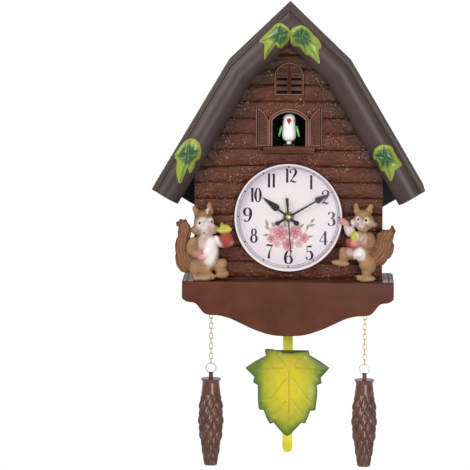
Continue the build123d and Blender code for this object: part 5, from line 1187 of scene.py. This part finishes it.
# The groove layer carries painted shade in the grooves between the scales.
put(shader, "Base Color", paint_layer(place, "groove").mix(brown, (0.024, 0.008, 0.005)))
put(shader, "Roughness", 0.20 + cloud * 0.14)
bump(shader, noise(place, 420.0, 3.0), 0.12, 0.0006)
for side, name in ((-1, "left"), (1, "right")):
    middle = np.array([side * CHAIN_X, -CHAIN_DEPTH, 0.0])
    shell = film("shell", len(turns) - 1, len(drop) - 1, cone_rows + middle)
    spots = spots_of(shell.data) / MM - middle
    around, down = np.arctan2(spots[:, 1], spots[:, 0]), spots[:, 2] - CONE_TOP
    lines = [np.abs(scale_way(around, down, way) % 1 - 0.5) for way in (-1, 1)]
    # Painted shade: the grooves between the scales are painted darker.
    groove_shade = np.clip((np.maximum(*lines) - 0.37) / 0.09, 0, 1) * below_cap(down)
    painted(shell, "groove", np.repeat(0.75 * groove_shade[:, None], 3, 1))
    eye_side = side * CHAIN_X - EYE_THICK / 2
    eye = film("eye", 32, 1, [
        (eye_side, y - CHAIN_DEPTH, EYE_MIDDLE + z) for line in (eye_outer, eye_inner) for y, z in line
    ])
    painted(eye, "groove", np.full((len(eye.data.vertices), 3), 0.25))
    edit_all()
    bpy.ops.mesh.extrude_region_move(TRANSFORM_OT_translate={"value": (EYE_THICK * MM, 0, 0)})
    bpy.ops.object.mode_set(mode="OBJECT")
    pine_cone = tidy(gather(f"{name}_pine_cone", [shell, eye]), 40.0)
    pine_cone.data.materials.append(cone_brown)
    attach(pine_cone, f"{name}_weight")
    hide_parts(f"{name}_cone")

# Roof leaves: glossy moulded ivy leaves on the roof's rolled band, two at the peak and one on each slope.
# They are yellow-green with a dark green heart, folded along their veins, and glued on.
LEAF_GRID, GRID_ACROSS, GRID_UP, GRID_STEP = 14, 289.0, 100.0, 1.2
LEAN, UPRIGHT, LEAN_FROM = 0.1045, 0.9945, 102.0
LEAF_DEPTH, LEAF_BACK, LEAF_LIMIT = 108, 97.0, 110.9


def leaf_places(left, top):
    """Maker of places on the clock from points on a grid that leans with the view of a leaf."""
    lean = (LEAF_DEPTH - LEAN_FROM) * LEAN

    def place(points):
        return [
            (
                (left + u / LEAF_GRID - GRID_ACROSS) * GRID_STEP,
                ((GRID_UP - top - v / LEAF_GRID) * GRID_STEP + lean) / UPRIGHT,
            )
            for u, v in points
        ]

    return place


peak_grid, left_grid, right_grid = leaf_places(256, 18), leaf_places(166, 132), leaf_places(366, 138)
IVY = {
    "peak_leaf_left": (
        peak_grid,
        [
            (468, 165), (405, 100), (330, 70), (262, 84), (205, 145), (135, 212), (78, 268), (42, 328),
            (108, 356), (112, 460), (118, 578), (165, 510), (235, 410), (272, 365), (300, 402), (345, 418),
            (405, 372), (455, 310), (466, 240),
        ],
        (345, 230), [(70, 322), (122, 540), (340, 395), (330, 90), (450, 190)],
    ),
    "peak_leaf_right": (
        peak_grid,
        [
            (482, 160), (560, 112), (640, 95), (735, 148), (800, 225), (868, 285), (905, 360), (906, 408),
            (872, 442), (880, 540), (886, 632), (815, 575), (745, 522), (690, 505), (640, 440), (600, 392),
            (530, 390), (482, 350), (470, 250),
        ],
        (640, 260), [(890, 385), (876, 600), (680, 480), (650, 110), (500, 250)],
    ),
    "slope_leaf_left": (
        left_grid,
        [
            (182, 215), (232, 148), (310, 92), (400, 84), (468, 132), (500, 210), (500, 300), (474, 372),
            (424, 400), (402, 490), (346, 566), (312, 492), (270, 590), (212, 712), (172, 640), (150, 530),
            (156, 392), (96, 340), (128, 292),
        ],
        (330, 300), [(110, 335), (212, 690), (345, 540), (330, 110), (485, 250)],
    ),
    "slope_leaf_right": (
        right_grid,
        [
            (102, 212), (122, 130), (182, 80), (260, 66), (358, 88), (402, 176), (452, 262), (508, 336),
            (452, 392), (410, 420), (398, 480), (384, 512), (350, 582), (300, 512), (258, 450), (210, 420),
            (180, 340), (160, 296), (112, 268),
        ],
        (262, 240), [(490, 334), (350, 560), (205, 400), (255, 85), (115, 215)],
    ),
}


def band_depth(spots):
    """Front of the roof's band at a place on the gable, without its fall behind the lip."""
    right = np.column_stack([np.abs(spots[:, 0]), spots[:, 1]])
    line = [np.array(stop) for stop in gable_line(0.0)]
    insets = []
    for start, end in ((line[0], line[1]), (line[1], line[2])):
        way = (end - start) / np.linalg.norm(end - start)
        insets.append((right - start) @ np.array([-way[1], way[0]]))
    inset = np.minimum(*insets)
    arc = np.array(through(BAND, 40))
    depth = np.interp(inset, arc[:, 0], arc[:, 1], left=102.0, right=90.0)
    return np.maximum(depth, 98.5)


def ivy_face(line, folds):
    """Maker of the face of one leaf."""

    def face(spots):
        """Depth of a folded leaf lying on the band."""
        edge = nearest(spots, line)[0]
        fold = vein_gap(spots, folds)
        crease = 1.7 * np.exp(-((fold / 1.5) ** 2)) * (1 - np.exp(-edge / 1.5))
        swell = 3.6 * (1 - np.exp(-edge / 2.6)) - crease
        return np.minimum(band_depth(spots) + 1.0 + swell, LEAF_LIMIT)

    return face


LEAF_NODES = {"slope_leaf_left": "left_roof_leaf", "slope_leaf_right": "right_roof_leaf"}
ivy_paint = paint_finish("ivy_paint", "ivy_colour", 0.2, 500.0, 0.05, coat=0.6)
for name, (grid, points, hub, tips) in IVY.items():
    line = grid(flowing(points, 4, closed=True))
    hub_at = grid([hub])[0]
    folds = [[hub_at, tip] for tip in grid(tips)]
    leaf = relief(name, line, 0.55, ivy_face(line, folds), LEAF_BACK)
    spots = spots_of(leaf.data)[:, [0, 2]] / MM
    edge = nearest(spots, line)[0]
    hub_gap = np.linalg.norm(spots - np.array(hub_at), axis=1)
    fold = vein_gap(spots, folds)
    dark = np.clip(1.5 - hub_gap / 9.5, 0, 1) * np.clip(edge / 3.6 - 0.3, 0, 1)
    dark += 0.35 * np.exp(-((fold / 1.1) ** 2))
    colours = blend(0.8 * np.exp(-edge / 1.8), (0.215, 0.30, 0.032), (0.40, 0.40, 0.07))
    colours = blend(dark * 1.45 + 0.1 * waves(9, spots, 8, 9, 9), colours, (0.018, 0.078, 0.016))
    painted(leaf, "ivy_colour", colours)
    leaf.data.materials.append(ivy_paint)
    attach(leaf, "case")
    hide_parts(LEAF_NODES.get(name, "peak_leaves"))

# Sound unit: a black battery box with three cells, spring contacts and a pull-off door, a speaker, a small
# circuit board and a slide switch. It is screwed inside the rear cover, and its key and door are reached from
# the back.
board_green, shader, place = finish("board_green", coat=0.3)
track = noise(place, 240.0, 2.0)
put(shader, "Base Color", track.between(0.48, 0.52).mix((0.012, 0.07, 0.022), (0.022, 0.11, 0.038)))
put(shader, "Roughness", 0.32 + track * 0.1)
bump(shader, track.between(0.46, 0.54), 0.1, 0.0003)
dress(black_board, "battery_box", "battery_door", "switch_housing")
dress(cell_wrap, "battery_cells")
dress(bright_steel, "battery_contacts")
dress(movement_black, "speaker")
dress(board_green, "sound_board")
dress(knob_grey, "sound_switch")

# Squirrels: two cast figures with flat backs, glued to the log wall and the shelf. One holds a nut out on its
# paw, the other dances with a paw up. They are cast resin, brushed in tans and white, with a furrowed brown
# tail.
TAN, DEEP, TAIL, TIP = (0.345, 0.192, 0.10), (0.23, 0.115, 0.05), (0.215, 0.085, 0.038), (0.06, 0.025, 0.014)
WHITE, ROSE, LILAC, PINK = (0.80, 0.74, 0.70), (0.62, 0.27, 0.27), (0.68, 0.53, 0.54), (0.55, 0.16, 0.20)
RED, LEMON, CREAM, ARM = (0.32, 0.038, 0.034), (0.60, 0.52, 0.075), (0.36, 0.225, 0.125), (0.29, 0.145, 0.07)

# Each limb: its two ends and half its girth on the figure's grid, how far its middle stands off the wall and
# half its thickness in millimetres, and its colour. Each patch: centre, half width and height, tilt, colour,
# strength.
LEFT_LIMBS = (
    (620, 660, 655, 1300, 235, 10, 14, TAN), (470, 520, 730, 500, 190, 12, 13.5, TAN),
    (595, 330, 600, 560, 175, 12, 12, TAN), (395, 575, 600, 600, 95, 13, 9, TAN),
    (690, 590, 850, 560, 80, 13, 8, CREAM), (640, 480, 695, 650, 85, 17, 9.5, WHITE),
    (500, 330, 445, 240, 60, 9, 4.8, TAN), (455, 270, 418, 175, 42, 9, 4.0, TAN),
    (705, 330, 700, 200, 68, 9, 4.8, TAN), (702, 235, 692, 105, 46, 9, 4.0, TAN),
    (470, 320, 720, 300, 85, 11, 10, DEEP), (300, 1320, 235, 900, 175, 7, 7.5, TAIL),
    (205, 1120, 250, 640, 140, 7, 7.5, TAIL), (250, 800, 270, 470, 125, 7.5, 7, TAIL),
    (285, 520, 115, 475, 62, 8, 5, TAIL), (240, 560, 185, 405, 50, 8, 4.5, TAIL),
    (290, 580, 265, 408, 52, 8, 4.5, TAIL), (440, 720, 365, 1000, 105, 18, 7.5, TAN),
    (375, 960, 590, 1045, 72, 20, 6, TAN), (480, 1010, 660, 1030, 82, 22, 4.5, ROSE),
    (800, 690, 905, 850, 62, 16, 5.5, WHITE), (860, 850, 945, 800, 52, 18, 4.5, LILAC),
    (985, 640, 985, 870, 128, 17, 7, RED), (860, 800, 940, 880, 45, 17, 5, PINK),
    (1000, 800, 1110, 790, 70, 17, 5.5, PINK), (850, 590, 1080, 565, 62, 17, 7, LEMON),
    (870, 560, 1040, 520, 55, 17, 6.5, LEMON), (905, 530, 918, 440, 34, 17, 3, CREAM),
    (430, 1120, 455, 1380, 100, 14, 8.5, TAN), (520, 1240, 720, 1300, 130, 14, 9.5, TAN),
    (800, 1270, 980, 1130, 105, 14, 8, TAN), (830, 1200, 960, 1360, 100, 14, 8, TAN),
    (820, 1375, 1030, 1345, 72, 16, 6.5, TAN), (430, 1425, 800, 1405, 62, 17, 7, CREAM),
    (680, 1350, 790, 1420, 60, 18, 5.5, TAN), (440, 1380, 470, 1475, 40, 18, 4, CREAM),
)
LEFT_PATCHES = (
    (722, 930, 135, 300, -6, WHITE, 1.0), (590, 800, 90, 130, 0, LILAC, 0.55),
    (600, 470, 150, 120, 0, WHITE, 0.75), (735, 450, 70, 95, 0, WHITE, 0.9),
    (672, 520, 62, 130, 6, LILAC, 0.9), (690, 590, 48, 80, 0, ROSE, 0.75),
    (600, 640, 110, 60, 0, WHITE, 0.6), (600, 1270, 90, 110, 0, (0.40, 0.18, 0.08), 0.55),
    (420, 840, 60, 90, 0, DEEP, 0.45), (985, 720, 78, 95, 0, RED, 1.0),
    (940, 545, 60, 35, 0, (0.36, 0.50, 0.06), 0.8), (655, 210, 26, 90, 8, WHITE, 0.85),
    (455, 290, 22, 70, -20, CREAM, 0.6), (155, 470, 60, 45, 0, TIP, 0.95), (250, 425, 110, 40, 0, TIP, 0.8),
    (95, 900, 45, 380, 0, TIP, 0.55), (560, 1025, 80, 70, 0, (0.70, 0.27, 0.32), 0.8),
    (610, 622, 17, 17, 0, TIP, 0.9), (450, 650, 110, 45, 10, DEEP, 0.35), (575, 978, 20, 20, 0, DEEP, 0.7),
    (900, 1180, 60, 40, -30, CREAM, 0.5),
)
RIGHT_LIMBS = (
    (560, 600, 560, 1150, 165, 10, 12.5, TAN), (505, 960, 510, 1040, 104, 15, 8, WHITE),
    (430, 440, 715, 450, 165, 12, 13, TAN), (570, 320, 560, 560, 150, 12, 12, TAN),
    (640, 500, 790, 495, 62, 12, 6, CREAM), (360, 450, 480, 490, 70, 12, 7, WHITE),
    (470, 545, 640, 555, 56, 17, 8.5, WHITE), (468, 320, 452, 225, 66, 9, 4.8, TAN),
    (452, 245, 436, 140, 48, 9, 4.0, TAN), (640, 320, 680, 225, 70, 9, 4.8, TAN),
    (676, 250, 706, 150, 50, 9, 4.0, TAN), (440, 320, 690, 310, 70, 11, 10, TAN),
    (420, 640, 300, 560, 70, 15, 6, LILAC), (350, 700, 265, 480, 66, 16, 6, LILAC),
    (150, 400, 320, 500, 58, 17.5, 4.5, ROSE), (430, 625, 430, 770, 82, 20, 6.5, LEMON),
    (300, 800, 530, 830, 72, 19, 7, PINK), (300, 740, 345, 880, 55, 19, 6, RED),
    (650, 640, 730, 880, 95, 14, 8, ARM), (740, 860, 540, 860, 68, 18, 6, ARM),
    (520, 1020, 210, 960, 110, 14, 8, TAN), (225, 900, 250, 1160, 88, 15, 7.5, TAN),
    (35, 1145, 330, 1175, 56, 17, 6.5, CREAM), (600, 1010, 680, 1320, 150, 13, 9.5, TAN),
    (620, 1240, 640, 1400, 90, 14, 8.5, TAN), (470, 1430, 775, 1425, 62, 17, 7, CREAM),
    (450, 1390, 560, 1400, 36, 17, 5, CREAM), (800, 1190, 880, 800, 185, 7, 7.5, TAIL),
    (930, 1080, 960, 740, 165, 7, 7.5, TAIL), (930, 860, 1030, 610, 115, 7.5, 7, TAIL),
    (990, 720, 1105, 580, 62, 8, 5.5, TAIL), (1050, 660, 1070, 515, 36, 8, 4, TAIL),
    (840, 800, 835, 650, 62, 7, 5, TAIL), (900, 760, 920, 590, 58, 7, 5, TAIL),
)
RIGHT_PATCHES = (
    (505, 1005, 112, 125, 0, WHITE, 1.0), (476, 402, 48, 58, 0, WHITE, 0.8),
    (622, 410, 50, 60, 0, (0.74, 0.64, 0.50), 0.8), (690, 470, 70, 60, 0, (0.66, 0.55, 0.43), 0.6),
    (455, 500, 80, 90, 0, LILAC, 0.8), (550, 555, 95, 42, 0, (0.52, 0.26, 0.15), 0.8),
    (545, 470, 60, 60, 0, LILAC, 0.6), (700, 540, 80, 45, -15, (0.42, 0.20, 0.09), 0.6),
    (455, 215, 40, 75, 0, (0.42, 0.19, 0.05), 0.8), (675, 225, 42, 75, 15, (0.42, 0.23, 0.08), 0.7),
    (500, 700, 60, 80, 0, WHITE, 0.5), (600, 730, 40, 100, 0, LILAC, 0.4),
    (230, 440, 110, 45, 30, ROSE, 0.9), (160, 405, 22, 22, 0, TIP, 0.6), (310, 800, 50, 90, 0, RED, 0.9),
    (440, 820, 90, 50, 0, (0.66, 0.21, 0.27), 0.8), (435, 690, 30, 50, 0, (0.30, 0.33, 0.03), 0.6),
    (340, 960, 60, 80, 0, LILAC, 0.35), (240, 1040, 60, 90, 0, DEEP, 0.3),
    (1100, 590, 50, 42, 0, TIP, 0.95), (1070, 530, 30, 40, 0, TIP, 0.9), (915, 600, 40, 40, 0, TIP, 0.6),
    (1085, 900, 30, 260, 0, TIP, 0.45), (610, 1290, 90, 45, 0, DEEP, 0.35),
    (515, 548, 14, 14, 0, DEEP, 0.9), (572, 548, 14, 14, 0, DEEP, 0.9), (700, 1000, 50, 140, 8, DEEP, 0.3),
)
FIGURES = (
    (
        "squirrel_left", "left_squirrel", (-142.8, -115.9), 0.0689, LEFT_LIMBS, LEFT_PATCHES,
        ((532, 452, 21), (734, 430, 18)),
        flowing([(330, 1330), (225, 1160), (180, 950), (205, 750), (250, 600), (215, 420)], 5),
    ),
    (
        "squirrel_right", "right_squirrel", (50.4, -113.5), 0.0700, RIGHT_LIMBS, RIGHT_PATCHES,
        ((484, 397, 21), (611, 407, 22)),
        flowing([(690, 1190), (850, 1090), (945, 930), (985, 760), (1085, 560)], 5),
    ),
)
FIGURE_BACK, FIGURE_FOOT = WALL_CREST + SEAT_GAP, SHELF_TOP + SEAT_GAP


def cut_flat(point, outward):
    """Cut away what of the active piece lies beyond a plane, and close the cut."""
    edit_all()
    bpy.ops.mesh.bisect(plane_co=point, plane_no=outward, clear_outer=True, use_fill=True)
    bpy.ops.object.mode_set(mode="OBJECT")


def finish_with(piece, kind, **settings):
    """Add a modifier to a piece and apply it."""
    added = piece.modifiers.new(kind.lower(), kind)
    for key, value in settings.items():
        setattr(added, key, value)
    bpy.ops.object.modifier_apply(modifier=added.name)


def on_figure(corner, grid, u, v):
    """How far across and up the clock a point on a figure's grid lies."""
    return corner[0] + u * grid, corner[1] - v * grid


resin_paint = paint_finish("resin_paint", "fur_colour", 0.46, 900.0, 0.12)
for name, node, corner, grid, limbs, patches, eyes, tail_line in FIGURES:
    select_only()
    cores = []
    for u0, v0, u1, v1, girth, stand, thick, colour in limbs:
        bpy.ops.mesh.primitive_uv_sphere_add(segments=28, ring_count=18, radius=1)
        ball = bpy.context.object
        x, z = on_figure(corner, grid, (u0 + u1) / 2, (v0 + v1) / 2)
        mid = Vector((x, -WALL_CREST - stand, z))
        run = Vector(((u1 - u0) * grid, 0.0, -(v1 - v0) * grid))
        half = max(run.length / 2 + 0.25 * girth * grid, girth * grid * 0.7)
        way = run.normalized()
        cores.append((np.array(mid), np.array(way), half, girth * grid, thick, np.array(colour)))
        ball.scale = Vector((half, thick, girth * grid)) * MM
        ball.rotation_euler = (0.0, math.atan2(-way.z, way.x), 0.0)
        ball.location = mid * MM
    bpy.ops.object.select_all(action="SELECT")
    for other in bpy.context.selected_objects:
        other.select_set(other.name.startswith("Sphere"))
    bpy.context.view_layer.objects.active = ball
    bpy.ops.object.transform_apply(location=True, rotation=True, scale=True)
    bpy.ops.object.join()
    figure = bpy.context.object
    figure.name = name
    finish_with(figure, "REMESH", mode="VOXEL", voxel_size=0.62 * MM)
    finish_with(figure, "SMOOTH", factor=0.5, iterations=12)
    places = spots_of(figure.data) / MM
    shares = np.empty((len(cores), len(places)))
    along = np.empty_like(shares)
    for n, (mid, way, half, girth, thick, colour) in enumerate(cores):
        off = places - mid
        along[n] = off @ way
        over = off @ np.array([-way[2], 0.0, way[0]])
        shares[n] = np.sqrt((along[n] / half) ** 2 + (off[:, 1] / thick) ** 2 + (over / girth) ** 2)
    near = np.exp(-9.0 * shares)
    colours = (near.T @ np.array([core[5] for core in cores])) / near.sum(0)[:, None]
    front = np.clip((-places[:, 1] - WALL_CREST - 3.0) / 4.0, 0.25, 1.0)
    flat = places[:, [0, 2]]
    for u, v, wide, tall, tilt, colour, strength in patches:
        off = flat - np.array(on_figure(corner, grid, u, v))
        turn = math.radians(tilt)
        across = (off[:, 0] * math.cos(turn) + off[:, 1] * math.sin(turn)) / (wide * grid)
        up = (off[:, 1] * math.cos(turn) - off[:, 0] * math.sin(turn)) / (tall * grid)
        reach = across ** 2 + up ** 2
        colours = blend(strength * front * np.clip(1.6 - 1.25 * reach, 0, 1), colours, colour)
    is_tail = np.array([core[5][0] == TAIL[0] for core in cores])
    tail = near[is_tail].sum(0) / near.sum(0)
    spine = [on_figure(corner, grid, u, v) for u, v in tail_line]
    over, foot = nearest(flat, spine, closed=False)
    over *= np.sign(flat[:, 0] - foot[:, 0])
    furrow = np.sin(over * 1.5 + 2.0 * waves(12, flat, 6, 22.0, 22.0))
    fur = waves(15, flat, 18, 5.0, 3.2)
    # Painted shade and highlight on the tail: its sunk furrows are painted dark brown and its ridges lighter.
    colours = blend(tail * np.clip(-0.2 - 0.7 * furrow, 0, 1), colours, (0.085, 0.032, 0.014))
    colours = blend(tail * np.clip(0.5 * furrow, 0, 1), colours, (0.31, 0.15, 0.07))
    airbrush = np.clip(0.3 * waves(27, flat, 10, 16.0, 16.0) + 0.12, 0, 0.4) * (1 - tail)
    airbrush *= np.clip(2.2 - 2.6 * colours[:, 1], 0, 1)
    colours = blend(airbrush, colours, (0.16, 0.075, 0.03))
    colours = blend(0.20 + 0.16 * fur, colours, np.array(colours) * 0.62)
    # Painted shade: where two limbs meet, the crease between them is painted darker.
    first, second = np.sort(shares, axis=0)[:2]
    crease = 0.38 * np.clip(1.0 - (second - first) / 0.10, 0, 1) * (1 - tail)
    colours = blend(crease, colours, np.array(colours) * 0.45)
    normal = np.empty(len(places) * 3)
    figure.data.vertices.foreach_get("normal", normal)
    lift = (0.12 * fur - 0.1 + tail * 0.3 * (furrow - 1.0))[:, None]
    move_to(figure.data, (places + normal.reshape(-1, 3) * lift) * MM)
    painted(figure, "fur_colour", colours)
    cut_flat((0, -FIGURE_BACK * MM, 0), (0, 1, 0))
    cut_flat((0, 0, FIGURE_FOOT * MM), (0, 0, -1))
    bpy.ops.object.shade_smooth()
    figure.data.materials.append(resin_paint)
    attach(figure, "case")
    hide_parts(node)
    bpy.context.view_layer.update()
    for n, (u, v, radius) in enumerate(eyes):
        x, z = on_figure(corner, grid, u, v)
        spot = Vector((x, -140.0, z)) * MM
        _, touch, _, _ = figure.ray_cast(spot, Vector((0, 1, 0)))
        select_only()
        bpy.ops.mesh.primitive_uv_sphere_add(segments=20, ring_count=14, radius=radius * grid * MM)
        eye = bpy.context.object
        eye.name = f"{name}_eye_{n + 1}"
        bpy.ops.object.mode_set(mode="EDIT")
        bpy.ops.transform.resize(value=(1.0, 0.6, 1.1))
        bpy.ops.transform.translate(value=touch)
        bpy.ops.object.mode_set(mode="OBJECT")
        bpy.ops.object.shade_smooth()
        eye.data.materials.append(eye_black)
        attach(eye, "case")

# Room: a plain pale floor far below, soft studio lamps and a long lens a little above the dial and to its
# right. The backdrop is white to the eye and in reflections, and lights the clock at a plain level.
VIEW_DISTANCE, VIEW_AZIMUTH, VIEW_ELEVATION, VIEW_ROLL = 4.2, 1.5, 6.0, 0.27
VIEW_TARGET = Vector((-0.0637, -0.102, -0.1609))
VIEW_WIDTH, SENSOR = 0.564, 36.0
FLOOR_RADIUS, FLOOR_DROP = 2.6, -1.5
select_only()
bpy.ops.mesh.primitive_circle_add(vertices=64, radius=FLOOR_RADIUS, fill_type="NGON", location=(0, 0, 0))
floor = bpy.context.object
floor.name = "floor"
bpy.ops.object.mode_set(mode="EDIT")
bpy.ops.transform.translate(value=(0, 0, FLOOR_DROP))
bpy.ops.object.mode_set(mode="OBJECT")
pale_floor, shader, place = finish("pale_floor")
put(shader, "Base Color", noise(place, 3.0).mix((0.82, 0.82, 0.82), (0.86, 0.86, 0.86)))
shader.inputs["Roughness"].default_value = 0.8
floor.data.materials.append(pale_floor)

world = bpy.data.worlds.new("studio")
bpy.context.scene.world = world
world.use_nodes = True
backdrop = Tone(world.node_tree)
camera_ray, glossy_ray, clear_ray = (
    backdrop.node("ShaderNodeLightPath", out=name)
    for name in ("Is Camera Ray", "Is Glossy Ray", "Is Transmission Ray")
)
seen = backdrop.sum("MAXIMUM", camera_ray, clear_ray)
level = 0.55 + seen * 0.45 + glossy_ray * 0.1
sky = world.node_tree.nodes["Background"]
sky.inputs["Color"].default_value = (1.0, 1.0, 1.0, 1.0)
put(sky, "Strength", level)


def lamp(name, place, target, size, watts):
    """Soft rectangular lamp that looks at a target."""
    light = bpy.data.lights.new(name, "AREA")
    light.shape = "RECTANGLE"
    light.size, light.size_y = size
    light.energy = watts
    holder = bpy.data.objects.new(name, light)
    bpy.context.scene.collection.objects.link(holder)
    holder.location = place
    holder.rotation_euler = (Vector(target) - Vector(place)).to_track_quat("-Z", "Y").to_euler()


lamp("key_lamp", (-1.1, -1.7, 0.9), (0, 0, -0.15), (1.2, 1.2), 27.0)
lamp("fill_lamp", (0.75, -2.3, -0.1), (0, 0, -0.15), (0.9, 1.4), 26.0)
lamp("top_lamp", (0.2, -0.5, 1.6), (0, -0.05, 0), (1.2, 0.8), 9.0)

camera = bpy.data.cameras.new("camera")
camera.lens = SENSOR * VIEW_DISTANCE / VIEW_WIDTH
camera.sensor_width = SENSOR
camera.clip_end = 50.0
viewer = bpy.data.objects.new("camera", camera)
bpy.context.scene.collection.objects.link(viewer)
azimuth, elevation = math.radians(VIEW_AZIMUTH), math.radians(VIEW_ELEVATION)
outward = Vector((
    math.sin(azimuth) * math.cos(elevation), -math.cos(azimuth) * math.cos(elevation), math.sin(elevation)
))
viewer.location = VIEW_TARGET + outward * VIEW_DISTANCE
turn = outward.to_track_quat("Z", "Y")
viewer.rotation_euler = turn.to_euler()
viewer.rotation_euler.rotate_axis("Z", math.radians(VIEW_ROLL))
bpy.context.scene.camera = viewer
bpy.context.scene.view_settings.view_transform = "Standard"
